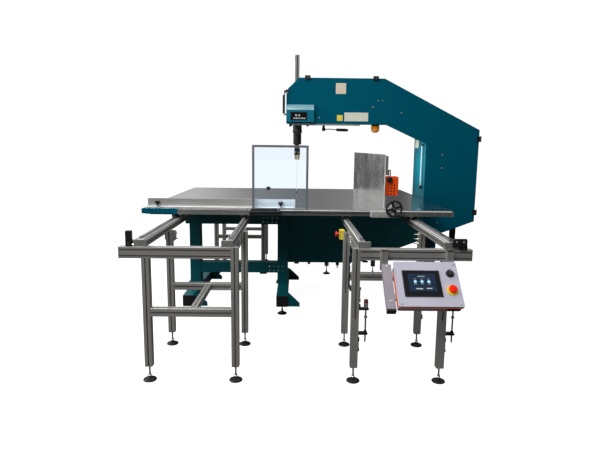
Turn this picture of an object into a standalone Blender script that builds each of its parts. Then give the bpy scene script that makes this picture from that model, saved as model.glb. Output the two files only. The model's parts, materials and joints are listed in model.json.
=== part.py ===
# Vertical band saw with a sliding table on four rails.
# Metres, +Z up, X along the width, Y from the operator side to the rear.
# Working coordinates: X = 0 close to the saw band, Y = 0 on the front legs,
# Z = 0 on the floor.  SHIFT_X / SHIFT_Y move the whole machine so that its
# bounding box is centred on the origin.
import bpy
import bmesh
import math
from mathutils import Vector, Matrix

# ---------------------------------------------------------------- dimensions
SHIFT_X, SHIFT_Y = 0.30025, 1.58041
GAP = 0.0003

LEG = 0.048                      # square legs of the support frames
LEG_BOTTOM = 0.098
BEAM_LOW, BEAM_TOP = 0.800, 0.8717
RAIL_LOW, RAIL_TOP, GUIDE_TOP = 0.8720, 0.9150, 0.9320
RAIL_Y0, RAIL_Y1 = -0.018, 3.460
RAIL_X = {"rail_outer_left": -0.945, "rail_inner_left": -0.3970,
          "rail_inner_right": 0.4160, "rail_outer_right": 0.9680}
RAIL_W = {"rail_outer_left": 0.080, "rail_inner_left": 0.044,
          "rail_inner_right": 0.044, "rail_outer_right": 0.084}
RAIL_END = {"rail_outer_left": (-0.985, -0.905), "rail_inner_left": (-0.449, -0.376),
            "rail_inner_right": (0.394, 0.470), "rail_outer_right": (0.926, 1.010)}

TABLE_X0, TABLE_X1 = -1.2109, 1.2680
TABLE_Y0, TABLE_Y1 = 0.9420, 3.0210
TABLE_Z0, TABLE_Z1 = 0.9650, 0.9950
SLOT_W = 0.012
TABLE_SKIN = 0.010              # plate thickness inside the folded rim

BLADE_X, BLADE_Y = 0.018, 2.020
POST_X, POST_Y0 = 0.012, 2.069
BAND_W, BAND_T = 0.025, 0.0012

BODY_Y0, BODY_Y1 = 1.9220, 2.4166
WALL = 0.006
DOOR_T = 0.004
WHEEL_R = 0.190
WHEELS = {"wheel_upper_left": (0.2095, 1.9310), "wheel_upper_right": (1.5650, 1.5500),
          "wheel_lower_right": (1.5650, 0.9200), "wheel_lower_left": (0.2095, 0.5500)}
MOTOR_X, MOTOR_Z = 0.620, 0.600
PULLEY_R, MOTOR_PULLEY_R = 0.090, 0.030
BELT_Y0, BELT_Y1 = 2.082, 2.112

FENCE_X0, FENCE_X1 = 0.712, 0.722
PANEL_TILT = math.radians(-46.6)
PANEL_TOP = (0.790, -0.085, 0.800)
PANEL_W, PANEL_L = 0.372, 0.296

COLL = "band_saw"

# ---------------------------------------------------------------- start clean
for ob in list(bpy.data.objects):
    bpy.data.objects.remove(ob, do_unlink=True)
for me in list(bpy.data.meshes):
    bpy.data.meshes.remove(me)
for cu in list(bpy.data.curves):
    bpy.data.curves.remove(cu)
for c in list(bpy.data.collections):
    bpy.data.collections.remove(c)

parts = bpy.data.collections.new(COLL)
tools = bpy.data.collections.new("cutters")
bpy.context.scene.collection.children.link(parts)
bpy.context.scene.collection.children.link(tools)


def material(name, rgb, rough, metal):
    m = bpy.data.materials.new(name)
    m.use_nodes = True
    b = m.node_tree.nodes["Principled BSDF"]
    b.inputs["Base Color"].default_value = (rgb[0], rgb[1], rgb[2], 1.0)
    b.inputs["Roughness"].default_value = rough
    b.inputs["Metallic"].default_value = metal
    m.diffuse_color = (rgb[0], rgb[1], rgb[2], 1.0)
    return m


KINDS = {"teal": ((0.0, 0.085, 0.13), 0.42, 0.0), "profile": ((0.42, 0.42, 0.41), 0.38, 1.0),
         "steel": ((0.55, 0.56, 0.58), 0.25, 1.0), "black": ((0.012, 0.012, 0.013), 0.5, 0.0),
         "rubber": ((0.02, 0.02, 0.02), 0.8, 0.0), "grey": ((0.62, 0.61, 0.70), 0.45, 0.0),
         "orange": ((0.62, 0.07, 0.008), 0.45, 0.0), "red": ((0.55, 0.01, 0.01), 0.35, 0.0),
         "yellow": ((0.75, 0.62, 0.02), 0.45, 0.0), "amber": ((0.75, 0.25, 0.01), 0.2, 0.0),
         "white": ((0.85, 0.85, 0.86), 0.3, 0.0), "glass": ((0.75, 0.86, 0.92), 0.05, 0.0),
         "cast": ((0.20, 0.21, 0.22), 0.55, 1.0), "screen": ((0.02, 0.03, 0.05), 0.1, 0.0)}


def finish(ob, name, kind, smooth=False):
    ob.name = name
    ob.data.name = name
    rgb, rough, metal = KINDS[kind]
    ob.data.materials.clear()
    ob.data.materials.append(material(name, rgb, rough, metal))
    if smooth:
        ob.data.shade_smooth()
        if hasattr(ob.data, "set_sharp_from_angle"):
            ob.data.set_sharp_from_angle(angle=math.radians(35))
    else:
        ob.data.shade_flat()
    for c in list(ob.users_collection):
        c.objects.unlink(ob)
    parts.objects.link(ob)
    return ob


def from_bm(bm, name="piece"):
    me = bpy.data.meshes.new(name)
    bm.to_mesh(me)
    bm.free()
    ob = bpy.data.objects.new(name, me)
    tools.objects.link(ob)
    return ob


def box(x0, x1, y0, y1, z0, z1, bevel=0.0):
    bm = bmesh.new()
    bmesh.ops.create_cube(bm, size=1.0)
    bmesh.ops.scale(bm, vec=(x1 - x0, y1 - y0, z1 - z0), verts=bm.verts)
    bmesh.ops.translate(bm, vec=((x0 + x1) / 2 - SHIFT_X, (y0 + y1) / 2 - SHIFT_Y, (z0 + z1) / 2),
                        verts=bm.verts)
    if bevel:
        bmesh.ops.bevel(bm, geom=list(bm.edges), offset=bevel, segments=1, affect='EDGES')
    return from_bm(bm)


def cyl(p, axis, r, length, segs=24, r2=None):
    """Cylinder or cone that starts at p and runs along +axis."""
    bm = bmesh.new()
    bmesh.ops.create_cone(bm, cap_ends=True, cap_tris=False, segments=segs,
                          radius1=r, radius2=r if r2 is None else r2, depth=length)
    bmesh.ops.translate(bm, vec=(0, 0, length / 2), verts=bm.verts)
    d = Vector(axis).normalized()
    rot = Vector((0, 0, 1)).rotation_difference(d).to_matrix()
    bmesh.ops.rotate(bm, cent=(0, 0, 0), matrix=rot, verts=bm.verts)
    bmesh.ops.translate(bm, vec=(p[0] - SHIFT_X, p[1] - SHIFT_Y, p[2]), verts=bm.verts)
    return from_bm(bm)


def ball(p, r, segs=16, rings=10):
    bm = bmesh.new()
    bmesh.ops.create_uvsphere(bm, u_segments=segs, v_segments=rings, radius=r)
    bmesh.ops.translate(bm, vec=(p[0] - SHIFT_X, p[1] - SHIFT_Y, p[2]), verts=bm.verts)
    return from_bm(bm)


def to_mesh(ob):
    """Evaluated copy of an object as a plain mesh object; the source is removed."""
    bpy.context.view_layer.update()
    dg = bpy.context.evaluated_depsgraph_get()
    me = bpy.data.meshes.new_from_object(ob.evaluated_get(dg))
    new = bpy.data.objects.new("piece", me)
    new.matrix_world = ob.matrix_world.copy()
    tools.objects.link(new)
    bpy.data.objects.remove(ob, do_unlink=True)
    me.transform(new.matrix_world)
    new.matrix_world = Matrix.Identity(4)
    bm = bmesh.new()
    bm.from_mesh(me)
    bmesh.ops.remove_doubles(bm, verts=bm.verts, dist=0.00001)
    bmesh.ops.recalc_face_normals(bm, faces=bm.faces)
    bm.to_mesh(me)
    bm.free()
    return new


def outline(loops, plane, d0, d1):
    """Flat outline (list of closed loops) extruded between d0 and d1.
    plane 'XZ' extrudes along Y, 'YZ' along X, 'XY' along Z."""
    cu = bpy.data.curves.new("outline", 'CURVE')
    cu.dimensions = '2D'
    cu.fill_mode = 'BOTH'
    cu.extrude = (d1 - d0) / 2
    for pts in loops:
        sp = cu.splines.new('POLY')
        sp.points.add(len(pts) - 1)
        for q, (a, b) in zip(sp.points, pts):
            q.co = (a, b, 0.0, 1.0)
        sp.use_cyclic_u = True
    ob = bpy.data.objects.new("outline", cu)
    tools.objects.link(ob)
    mid = (d0 + d1) / 2
    if plane == 'XZ':
        ob.matrix_world = Matrix.Translation((-SHIFT_X, mid - SHIFT_Y, 0)) @ Matrix.Rotation(math.radians(90), 4, 'X')
    elif plane == 'YZ':
        ob.matrix_world = (Matrix.Translation((mid - SHIFT_X, -SHIFT_Y, 0)) @ Matrix.Rotation(math.radians(90), 4, 'Z')
                           @ Matrix.Rotation(math.radians(90), 4, 'X'))
    else:
        ob.matrix_world = Matrix.Translation((-SHIFT_X, -SHIFT_Y, mid))
    return to_mesh(ob)


def turned(profile, p, axis, steps=32):
    """Profile (radius, height) pairs, top to bottom, turned about +axis through p."""
    me = bpy.data.meshes.new("turned")
    me.from_pydata([(r, 0.0, h) for r, h in profile], [(i, i + 1) for i in range(len(profile) - 1)], [])
    ob = bpy.data.objects.new("turned", me)
    tools.objects.link(ob)
    m = ob.modifiers.new("screw", 'SCREW')
    m.axis = 'Z'
    m.steps = steps
    m.render_steps = steps
    m.use_merge_vertices = True
    m.merge_threshold = 0.0001
    m.use_normal_calculate = True
    rot = Vector((0, 0, 1)).rotation_difference(Vector(axis).normalized()).to_matrix().to_4x4()
    ob.matrix_world = Matrix.Translation((p[0] - SHIFT_X, p[1] - SHIFT_Y, p[2])) @ rot
    return to_mesh(ob)


def rod(points, r, res=3):
    """Bent round bar through the points."""
    cu = bpy.data.curves.new("rod", 'CURVE')
    cu.dimensions = '3D'
    cu.bevel_depth = r
    cu.bevel_resolution = res
    cu.use_fill_caps = True
    sp = cu.splines.new('POLY')
    sp.points.add(len(points) - 1)
    for q, c in zip(sp.points, points):
        q.co = (c[0] - SHIFT_X, c[1] - SHIFT_Y, c[2], 1.0)
    ob = bpy.data.objects.new("rod", cu)
    tools.objects.link(ob)
    return to_mesh(ob)


def combine(base, others, op='UNION'):
    """Boolean of base with each other piece, evaluated to one plain mesh."""
    for o in others:
        m = base.modifiers.new("join", 'BOOLEAN')
        m.operation = op
        m.solver = 'EXACT'
        m.object = o
        o.hide_render = True
        o.display_type = 'WIRE'
    out = to_mesh(base)
    for o in others:
        bpy.data.objects.remove(o, do_unlink=True)
    return out


def set_origin(ob, p):
    """Object origin on world point p (working coordinates), mesh stays where it is."""
    v = Vector((p[0] - SHIFT_X, p[1] - SHIFT_Y, p[2]))
    ob.data.transform(Matrix.Translation(-v))
    ob.location = v
    return ob


def tilt(ob):
    """Lean a piece drawn upright in the control panel's own frame.
    Own frame: x across, y out of the face is -Y, z down the face is -Z from the top edge."""
    t = Matrix.Translation((PANEL_TOP[0] - SHIFT_X, PANEL_TOP[1] - SHIFT_Y, PANEL_TOP[2]))
    s = Matrix.Translation((SHIFT_X, SHIFT_Y, 0))
    ob.data.transform(t @ Matrix.Rotation(PANEL_TILT, 4, 'X') @ s)
    return ob


# ---------------------------------------------------------------- support frames
def foot(x, y, top=LEG_BOTTOM + 0.02):
    return [cyl((x, y, 0.0), (0, 0, 1), 0.043, 0.012, 14),
            cyl((x, y, 0.005), (0, 0, 1), 0.008, top - 0.005, 8), cyl((x, y, 0.078), (0, 0, 1), 0.014, 0.021, 6)]


def leg(x, y, top, h=LEG / 2):
    return box(x - h, x + h, y - h, y + h, LEG_BOTTOM, top)


H = LEG / 2
S = 0.0004
# front left frame
xo, xi, ya, yb = -0.9165, -0.3676, 0.0, 0.5985
p = [leg(xi, ya, BEAM_TOP - S), leg(xo, yb, BEAM_TOP), leg(xi, yb, BEAM_TOP),
     box(-1.078, -0.376, -H - S, H + S, BEAM_LOW, BEAM_TOP),
     box(-0.4145, -0.3740, 0.01, yb, BEAM_LOW + S, BEAM_TOP - 2 * S),
     box(xo, xi, -H + S, H - S, 0.429, 0.481), box(xo, xi, yb - H + S, yb + H - S, 0.4285, 0.479),
     box(-0.655, -0.612, 0.005, yb, 0.437, 0.477)]
for x in (xo, xi):
    for y in (ya, yb):
        p += foot(x, y)
finish(combine(leg(xo, ya, BEAM_LOW + 0.03), p), "front_left_frame", "profile")

# front right frame, with two pairs of brackets for the floor pins
xi, xo = 0.3848, 0.9363
p = [leg(xi, ya, BEAM_TOP - S), leg(xo, yb, BEAM_TOP), leg(xi, yb, BEAM_TOP),
     box(0.3970, 1.098, -H - S, H + S, BEAM_LOW, BEAM_TOP),
     box(0.3945, 0.4350, 0.01, yb, BEAM_LOW + S, BEAM_TOP - 2 * S),
     box(xi, xo, yb - H + S, yb + H - S, 0.5105, 0.567)]
for x in (xo, xi):
    for y in (ya, yb):
        p += foot(x, y)
for x in (xi, xo):
    p += [box(x + H - 0.005, x + H + 0.064, -0.018, 0.018, 0.478, 0.490),
          box(x + H - 0.005, x + H + 0.060, -0.018, 0.018, 0.316, 0.332)]
# short hanger for the right side of the control station
p.append(box(0.928, 0.972, -0.0647, -0.0150, 0.782, 0.8700))
fr = combine(leg(xo, ya, BEAM_LOW + 0.03), p)
PIN_X = (xi + H + 0.045, xo + H + 0.045)
fr = combine(fr, [cyl((x, 0.0, 0.30), (0, 0, 1), 0.0062, 0.21, 16) for x in PIN_X], 'DIFFERENCE')
finish(fr, "front_right_frame", "profile")

# rear frames
for nm, xo, xi, side in (("rear_left_frame", -0.9165, -0.3676, -1), ("rear_right_frame", 0.9363, 0.3848, 1)):
    yr, ys = 2.790, 3.427
    a, b = min(xo, xi), max(xo, xi)
    p = [leg(xi, yr, BEAM_TOP), leg(xo, ys, BEAM_TOP - S), leg(xi, ys, BEAM_TOP - S),
         box(a - 0.06, b + 0.01, ys - H - S, ys + H + S, BEAM_LOW, BEAM_TOP) if side < 0 else
         box(a - 0.01, b + 0.06, ys - H - S, ys + H + S, BEAM_LOW, BEAM_TOP),
         box(a, b, yr - H + S, yr + H - S, 0.420, 0.461), box(a, b, ys - H + S, ys + H - S, 0.410, 0.451),
         box((a + b) / 2 - 0.02, (a + b) / 2 + 0.02, yr, ys, 0.422, 0.449)]
    for x in (xo, xi):
        for y in (yr, ys):
            p += foot(x, y)
    finish(combine(leg(xo, yr, BEAM_TOP), p), nm, "profile")

# rails with the linear guide on top
for nm, x in RAIL_X.items():
    w = RAIL_W[nm] / 2
    e0, e1 = RAIL_END[nm]
    finish(combine(box(x - w, x + w, RAIL_Y0 + 0.001, RAIL_Y1, RAIL_LOW, RAIL_TOP),
                   [box(x - 0.010, x + 0.010, RAIL_Y0 + 0.03, RAIL_Y1 - 0.03, RAIL_TOP - 0.002, GUIDE_TOP),
                    box(e0, e1, RAIL_Y0, RAIL_Y0 + 0.010, RAIL_LOW + 0.0002, RAIL_TOP - 0.0002)]),
           nm, "profile")

# end stops on the front beams
finish(combine(box(-1.034, -0.998, -0.018, 0.018, BEAM_TOP + GAP, 0.968),
               [box(-1.0, -0.9857, -0.012, 0.012, BEAM_TOP + 0.001, 0.915)]), "end_stop_left", "black")
finish(combine(box(0.966, 1.058, -0.044, -0.0184, 0.8880, 0.9420, 0.006),
               [box(1.0125, 1.0560, -0.040, 0.018, BEAM_TOP + GAP, 0.9000)]), "end_stop_right", "black")

# ---------------------------------------------------------------- machine stand
p = [box(-0.972, -0.868, 1.20, 2.25, 0.098, 0.198),
     box(-0.988, -0.884, 1.62, 1.72, 0.19, 0.80), box(-0.160, -0.060, 1.62, 1.72, 0.19, 0.80),
     box(-1.025, -0.062, 1.6205, 1.7195, 0.766, 0.861), box(-0.97, -0.062, 1.6210, 1.7190, 0.300, 0.402),
     box(-1.003, -0.868, 1.615, 1.725, 0.197, 0.235),
     box(-0.155, -0.062, 1.715, BODY_Y0 - GAP, 0.70, 0.80), box(-0.155, -0.062, 1.715, BODY_Y0 - GAP, 0.345, 0.395)]
for x, ys in ((-0.868, (1.225, 2.13)), (-0.055, (1.225, 2.13))):
    for y in ys:
        p.append(outline([[(x - 0.02, 0.100), (x + 0.108, 0.1002), (x + 0.108, 0.128), (x + 0.012, 0.222), (x - 0.02, 0.222)]],
                         'XZ', y, y + 0.012))
        p.append(box(x - 0.03, x - 0.005, y, y + 0.012, 0.19, 0.2219))
for x in (-0.920, -0.105):
    for y in (1.318, 2.14):
        p += foot(x, y, 0.12)
finish(combine(box(-0.155, -0.053, 1.20, 2.25, 0.098, 0.198), p), "machine_stand", "teal")

# ---------------------------------------------------------------- saw body
OUTER = [(-0.0915, 1.7310), (-0.0915, 2.0290), (0.0320, 2.1470), (0.8550, 2.1470), (1.7980, 1.6720),
         (1.7980, 0.7700), (1.0320, 0.4820), (0.6410, 0.3350), (-0.0915, 0.3350), (-0.0915, 0.8600),
         (1.2802, 0.8600), (1.2802, 1.5900), (0.9686, 1.7310)]


def inset(pts, d):
    """Parallel outline moved inwards by d (clockwise or counter-clockwise, no arcs)."""
    n = len(pts)
    area = sum(pts[i][0] * pts[(i + 1) % n][1] - pts[(i + 1) % n][0] * pts[i][1] for i in range(n))
    s = 1.0 if area > 0 else -1.0
    lines = []
    for i in range(n):
        a, b = Vector(pts[i]), Vector(pts[(i + 1) % n])
        t = (b - a).normalized()
        nrm = Vector((-t.y, t.x)) * s
        lines.append((a + nrm * d, t))
    out = []
    for i in range(n):
        a, t = lines[i - 1]
        b, u = lines[i]
        den = t.x * u.y - t.y * u.x
        k = ((b.x - a.x) * u.y - (b.y - a.y) * u.x) / den
        out.append((a.x + t.x * k, a.y + t.y * k))
    return out


shell = outline([OUTER], 'XZ', BODY_Y0 + DOOR_T + GAP, BODY_Y1)
cuts = [outline([inset(OUTER, WALL)], 'XZ', BODY_Y0 - 0.05, BODY_Y1 - WALL),
        cyl((BLADE_X, BLADE_Y, 1.69), (0, 0, 1), 0.0455, 0.09, 28),
        box(POST_X - 0.0225, POST_X + 0.0225, POST_Y0 - 0.0015, POST_Y0 + 0.0415, 1.69, 1.79),
        box(POST_X - 0.0225, POST_X + 0.0225, POST_Y0 - 0.0015, POST_Y0 + 0.0415, 2.08, 2.16),
        box(BLADE_X - 0.012, BLADE_X + 0.012, BLADE_Y - 0.026, BLADE_Y + 0.026, 0.84, 0.88)]
shell = combine(shell, cuts, 'DIFFERENCE')
p = [cyl((x, 1.985, z), (0, 1, 0), 0.024, BODY_Y1 - WALL / 2 - 1.985, 24) for x, z in WHEELS.values()]
p += [cyl((x, 2.30, z), (0, 1, 0), 0.045, BODY_Y1 - WALL / 2 - 2.30, 24) for x, z in WHEELS.values()]
# dust outlet stub through the floor of the column
p.append(cyl((1.6615, 2.160, 0.440), (0, 0, 1), 0.0285, 0.300, 24))
shell = combine(shell, p)
finish(shell, "body_shell", "teal")

# upper door covers the arm and the column, the lower cover stays bolted
door_pts = [(-0.0915, 1.7140), (-0.0915, 2.0290), (0.0320, 2.1470), (0.8550, 2.1470), (1.7980, 1.6720),
            (1.7980, 0.7700), (1.2900, 0.5790), (1.2900, 0.8600), (1.2802, 0.8600), (1.2802, 1.5320), (0.8780, 1.7140)]
door = finish(outline([door_pts], 'XZ', BODY_Y0, BODY_Y0 + DOOR_T), "front_door", "teal")
HINGE = (1.8080, 1.9130, 1.2)
set_origin(door, HINGE)
cover_pts = [(1.2880, 0.8600), (1.2880, 0.5782), (1.0320, 0.4820), (0.6410, 0.3350), (-0.0915, 0.3350), (-0.0915, 0.8600)]
finish(outline([cover_pts], 'XZ', BODY_Y0, BODY_Y0 + DOOR_T), "lower_cover", "teal")

for nm, z in (("door_hinge_upper", 1.584), ("door_hinge_lower", 0.862)):
    set_origin(finish(combine(box(1.774, 1.808, 1.9065, BODY_Y0 - GAP, z - 0.027, z + 0.027),
                              [cyl((1.8080, 1.9130, z - 0.0268), (0, 0, 1), 0.0080, 0.0536, 20)]), nm, "black"),
               (HINGE[0], HINGE[1], z))
for nm, x, zc in (("door_latch_left", 0.112, 2.1465), ("door_latch_right", 0.767, 2.1465)):
    set_origin(finish(combine(box(x - 0.027, x + 0.027, 1.906, BODY_Y0 - GAP, zc - 0.021, zc + 0.021, 0.002),
                              [cyl((x, 1.901, zc - 0.006), (0, 1, 0), 0.010, 0.006, 16)]), nm, "black"),
               (x, BODY_Y0, zc - 0.006))
finish(combine(cyl((-0.1175, 1.9100, 1.805), (0, 0, 1), 0.0095, 0.205, 16),
               [box(-0.1175, -0.070, 1.903, BODY_Y0 - GAP, 1.996, 2.0425, 0.004),
                box(-0.1175, -0.0890, 1.904, BODY_Y0 - GAP, 1.790, 1.822, 0.004)]), "door_handle", "black")

# right-hand leg and dust outlet below the column
finish(combine(outline([[(1.401, 0.010), (1.454, 0.010), (1.454, 0.6400), (1.401, 0.6201)]], 'XZ', 2.02, 2.34),
               [box(1.365, 1.490, 1.99, 2.37, 0.0, 0.012)]), "body_leg", "teal")

# ---------------------------------------------------------------- wheels, band and drive
WB = BLADE_Y
for nm, (x, z) in WHEELS.items():
    prof = [(0.0245, 0.030), (0.050, 0.030), (0.054, 0.008), (0.150, 0.005), (0.158, 0.021), (WHEEL_R, 0.021),
            (WHEEL_R, -0.021), (0.158, -0.021), (0.150, -0.005), (0.054, -0.008), (0.050, -0.030), (0.0245, -0.030),
            (0.0245, 0.030)]
    w = turned(prof, (x, WB, z), (0, -1, 0), 36)
    if nm == "wheel_lower_left":
        pul = turned([(0.0245, 0.002), (0.040, 0.002), (0.040, -0.048), (PULLEY_R + 0.005, -0.050), (PULLEY_R + 0.005, -0.053),
                      (PULLEY_R - GAP, -0.060), (PULLEY_R - GAP, -0.0935), (PULLEY_R + 0.005, -0.099), (PULLEY_R + 0.005, -0.102),
                      (0.0245, -0.102), (0.0245, 0.002)], (x, WB - 0.0, z), (0, -1, 0), 32)
        w = combine(w, [pul])
    w = combine(w, [cyl((x + 0.104 * math.cos(a), WB - 0.03, z + 0.104 * math.sin(a)), (0, 1, 0), 0.030, 0.045, 12)
                    for a in (math.radians(45 + 72 * i) for i in range(5))], 'DIFFERENCE')
    set_origin(finish(w, nm, "cast", True), (x, WB, z))


def belt(circles, r_off, n=14):
    """Belt path around circles given anticlockwise: (x, z, radius)."""
    pts = []
    m = len(circles)
    for i in range(m):
        x0, z0, r0 = circles[i - 1]
        x1, z1, r1 = circles[i]
        x2, z2, r2 = circles[(i + 1) % m]

        def normal(ax, az, ar, bx, bz, br):
            d = Vector((bx - ax, bz - az))
            length = d.length
            d.normalize()
            c = (ar - br) / length
            s = math.sqrt(max(0.0, 1 - c * c))
            right = Vector((d.y, -d.x))
            return d * c + right * s
        n_in = normal(x0, z0, r0, x1, z1, r1)
        n_out = normal(x1, z1, r1, x2, z2, r2)
        a0 = math.atan2(n_in.y, n_in.x)
        a1 = math.atan2(n_out.y, n_out.x)
        while a1 < a0:
            a1 += 2 * math.pi
        for k in range(n + 1):
            a = a0 + (a1 - a0) * k / n
            # the corners of the polyline stay outside the wheel's own facets
            pts.append((x1 + (r1 + r_off) * math.cos(a), z1 + (r1 + r_off) * math.sin(a)))
    return pts


order = ["wheel_lower_left", "wheel_lower_right", "wheel_upper_right", "wheel_upper_left"]
cc = [(WHEELS[k][0], WHEELS[k][1], WHEEL_R) for k in order]
band = outline([belt(cc, 0.0011 + BAND_T, 18), belt(cc, 0.0011, 18)], 'XZ', BLADE_Y - BAND_W / 2, BLADE_Y + BAND_W / 2)
finish(band, "saw_band", "steel")
cc = [(WHEELS["wheel_lower_left"][0], WHEELS["wheel_lower_left"][1], PULLEY_R), (MOTOR_X, MOTOR_Z, MOTOR_PULLEY_R)]
finish(outline([belt(cc, 0.0055, 18), belt(cc, 0.0010, 18)], 'XZ', BELT_Y0, BELT_Y1), "drive_belt", "rubber")
mp = turned([(0.0, 0.018), (0.036, 0.018), (0.036, 0.0155), (MOTOR_PULLEY_R - GAP, 0.0155), (MOTOR_PULLEY_R - GAP, -0.0155),
             (0.036, -0.0155), (0.036, -0.018), (0.012, -0.018), (0.012, -0.0535), (0.0, -0.0535)],
            (MOTOR_X, 2.097, MOTOR_Z), (0, -1, 0), 32)
set_origin(finish(mp, "motor_pulley", "cast", True), (MOTOR_X, 2.097, MOTOR_Z))
finish(combine(cyl((MOTOR_X, 2.152, MOTOR_Z), (0, 1, 0), 0.078, 0.235, 32),
               [box(MOTOR_X - 0.09, MOTOR_X + 0.09, 2.19, 2.36, MOTOR_Z - 0.105, MOTOR_Z - 0.05),
                box(MOTOR_X - 0.09, MOTOR_X + 0.09, 2.33, BODY_Y1 - WALL - GAP, MOTOR_Z - 0.104, MOTOR_Z + 0.06),
                box(MOTOR_X - 0.045, MOTOR_X + 0.045, 2.20, 2.30, MOTOR_Z + 0.05, MOTOR_Z + 0.115)]), "drive_motor", "cast")

# ---------------------------------------------------------------- blade guide
# grooved post through the arm, bellows below it, guide head at its lower end
post = box(POST_X - 0.021, POST_X + 0.021, POST_Y0, POST_Y0 + 0.040, 1.440, 2.384)
post = combine(post, [box(POST_X - 0.0045, POST_X + 0.0045, POST_Y0 - 0.02, POST_Y0 + 0.0075, 1.60, 2.40)], 'DIFFERENCE')
set_origin(finish(post, "guide_post", "steel"), (BLADE_X, BLADE_Y, 1.9))
up = turned([(0.0425, 1.7300), (0.0445, 1.7300), (0.0445, 1.6560), (0.0470, 1.6500), (0.0470, 1.6320), (0.0445, 1.6280),
             (0.0425, 1.6280), (0.0425, 1.7300)], (BLADE_X, BLADE_Y, 0), (0, 0, 1), 28)
finish(up, "guide_sleeve_upper", "rubber", True)
prof = [(0.0, 1.8100), (0.0395, 1.8100), (0.0410, 1.8050)]
z = 1.6200
i = 0
while z > 1.522:
    prof.append((0.0410 if i % 2 == 0 else 0.0375, z))
    z -= 0.0090
    i += 1
prof += [(0.0380, 1.5130), (0.0, 1.5130)]
low = turned(prof, (BLADE_X, BLADE_Y, 0), (0, 0, 1), 24)
low = combine(low, [box(BLADE_X - 0.0080, BLADE_X + 0.0080, BLADE_Y - 0.0180, BLADE_Y + 0.0180, 1.48, 1.85)], 'DIFFERENCE')
set_origin(finish(low, "guide_sleeve_lower", "rubber", True), (BLADE_X, BLADE_Y, 1.6))
head = combine(turned([(0.0, 1.5125), (0.020, 1.5125), (0.020, 1.478), (0.029, 1.455), (0.029, 1.416), (0.024, 1.408),
                       (0.024, 1.362), (0.0, 1.362)], (BLADE_X, BLADE_Y, 0), (0, 0, 1), 24),
               [box(BLADE_X - 0.0150, BLADE_X + 0.0150, BLADE_Y + 0.015, POST_Y0 - GAP, 1.4420, 1.4960)])
head = combine(head, [box(BLADE_X - 0.004, BLADE_X + 0.004, BLADE_Y - 0.05, BLADE_Y + 0.0145, 1.30, 1.60)], 'DIFFERENCE')
set_origin(finish(head, "blade_guide", "black"), (BLADE_X, BLADE_Y, 1.45))

# ---------------------------------------------------------------- fittings on the arm and column
finish(combine(box(-0.054, 0.627, 1.927, 1.951, 1.6985, 1.7310 - GAP),
               [ball((-0.049, 1.939, 1.698), 0.016), ball((0.117, 1.939, 1.698), 0.013)]), "arm_rail", "profile")
finish(turned([(0.0, 1.7307), (0.040, 1.7307), (0.040, 1.692), (0.042, 1.691), (0.042, 1.672), (0.036, 1.652),
               (0.022, 1.640), (0.0, 1.635)], (0.787, 2.000, 0), (0, 0, 1), 28), "warning_beacon", "amber", True)
LEV = (0.278, 2.012, 1.66)
lev = combine(cyl((LEV[0], LEV[1], 1.648), (0, 0, 1), 0.017, 1.7307 - 1.648, 20),
              [rod([(LEV[0], LEV[1], 1.662), (0.34, 2.008, 1.664), (0.41, 2.004, 1.660)], 0.0055),
               cyl((0.402, 2.004, 1.6605), (1, 0, -0.02), 0.0145, 0.118, 16)])
set_origin(finish(lev, "guide_clamp_lever", "black"), LEV)
finish(combine(cyl((1.2665, 2.020, 1.118), (0, 0, 1), 0.0095, 0.408, 14),
               [box(1.2555, 1.2799, 2.008, 2.034, 1.086, 1.122), box(1.2575, 1.2799, 2.011, 2.031, 1.515, 1.529)]),
       "light_tube", "white")
finish(outline([[(1.862, 1.727), (BODY_Y0 - GAP, 1.727), (BODY_Y0 - GAP, 1.893), (1.862, 1.840)]], 'YZ', -0.0885, 0.176),
       "depth_readout", "teal")

# ---------------------------------------------------------------- sliding table
table = box(TABLE_X0, TABLE_X1, TABLE_Y0, TABLE_Y1, TABLE_Z0, TABLE_Z1)
table = combine(table, [box(BLADE_X - SLOT_W / 2, BLADE_X + SLOT_W / 2, BLADE_Y - 0.034, TABLE_Y1 + 0.05, 0.90, 1.05),
                        box(TABLE_X0 + 0.010, BLADE_X - 0.016, TABLE_Y0 + 0.010, TABLE_Y1 - 0.010, 0.95, TABLE_Z1 - TABLE_SKIN),
                        box(BLADE_X + 0.016, TABLE_X1 - 0.010, TABLE_Y0 + 0.010, TABLE_Y1 - 0.010, 0.95, TABLE_Z1 - TABLE_SKIN)],
                'DIFFERENCE')
T = (0.0, TABLE_Y0, TABLE_Z1)
set_origin(finish(table, "table_top", "steel"), T)

zt = TABLE_Z0 - GAP
zu = TABLE_Z1 - TABLE_SKIN - GAP
p = [box(-1.17, 1.21, 2.943, 3.010, 0.9365, zt), box(-1.165, -1.115, 0.99, 3.005, 0.937, zu),
     box(1.155, 1.205, 0.99, 3.005, 0.937, zu), box(-0.25, -0.20, 0.99, 3.005, 0.9372, zu),
     box(0.62, 0.67, 0.99, 3.005, 0.9372, zu),
     box(-1.2155, -0.931, 0.9165, TABLE_Y0 - GAP, 0.9520, 0.9945), box(-1.19, -0.96, 0.93, 1.02, 0.9475, zt - S)]
for x in RAIL_X.values():
    for y in (1.02, 2.86):
        p += [box(x - 0.042, x - 0.0125, y - 0.06, y + 0.06, 0.9185, zt - S), box(x + 0.0125, x + 0.042, y - 0.06, y + 0.06, 0.9185, zt - S),
              box(x - 0.0415, x + 0.0415, y - 0.0595, y + 0.0595, 0.9345, zt - S), box(x - 0.0405, x + 0.0405, y, y + 0.11 if y > 2 else y + 0.02, 0.9375, zt - S)]
set_origin(finish(combine(box(-1.17, 1.21, 0.985, 1.055, 0.9365, zt), p), "table_frame", "teal"), T)

rail = box(-0.9305, TABLE_X1, 0.9170, TABLE_Y0 - GAP, 0.9480, 0.9860)
rail = combine(rail, [box(-0.119, 0.72, 0.90, 0.9260, 0.9610, 0.9730)], 'DIFFERENCE')
set_origin(finish(rail, "front_rail", "profile"), T)

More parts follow.
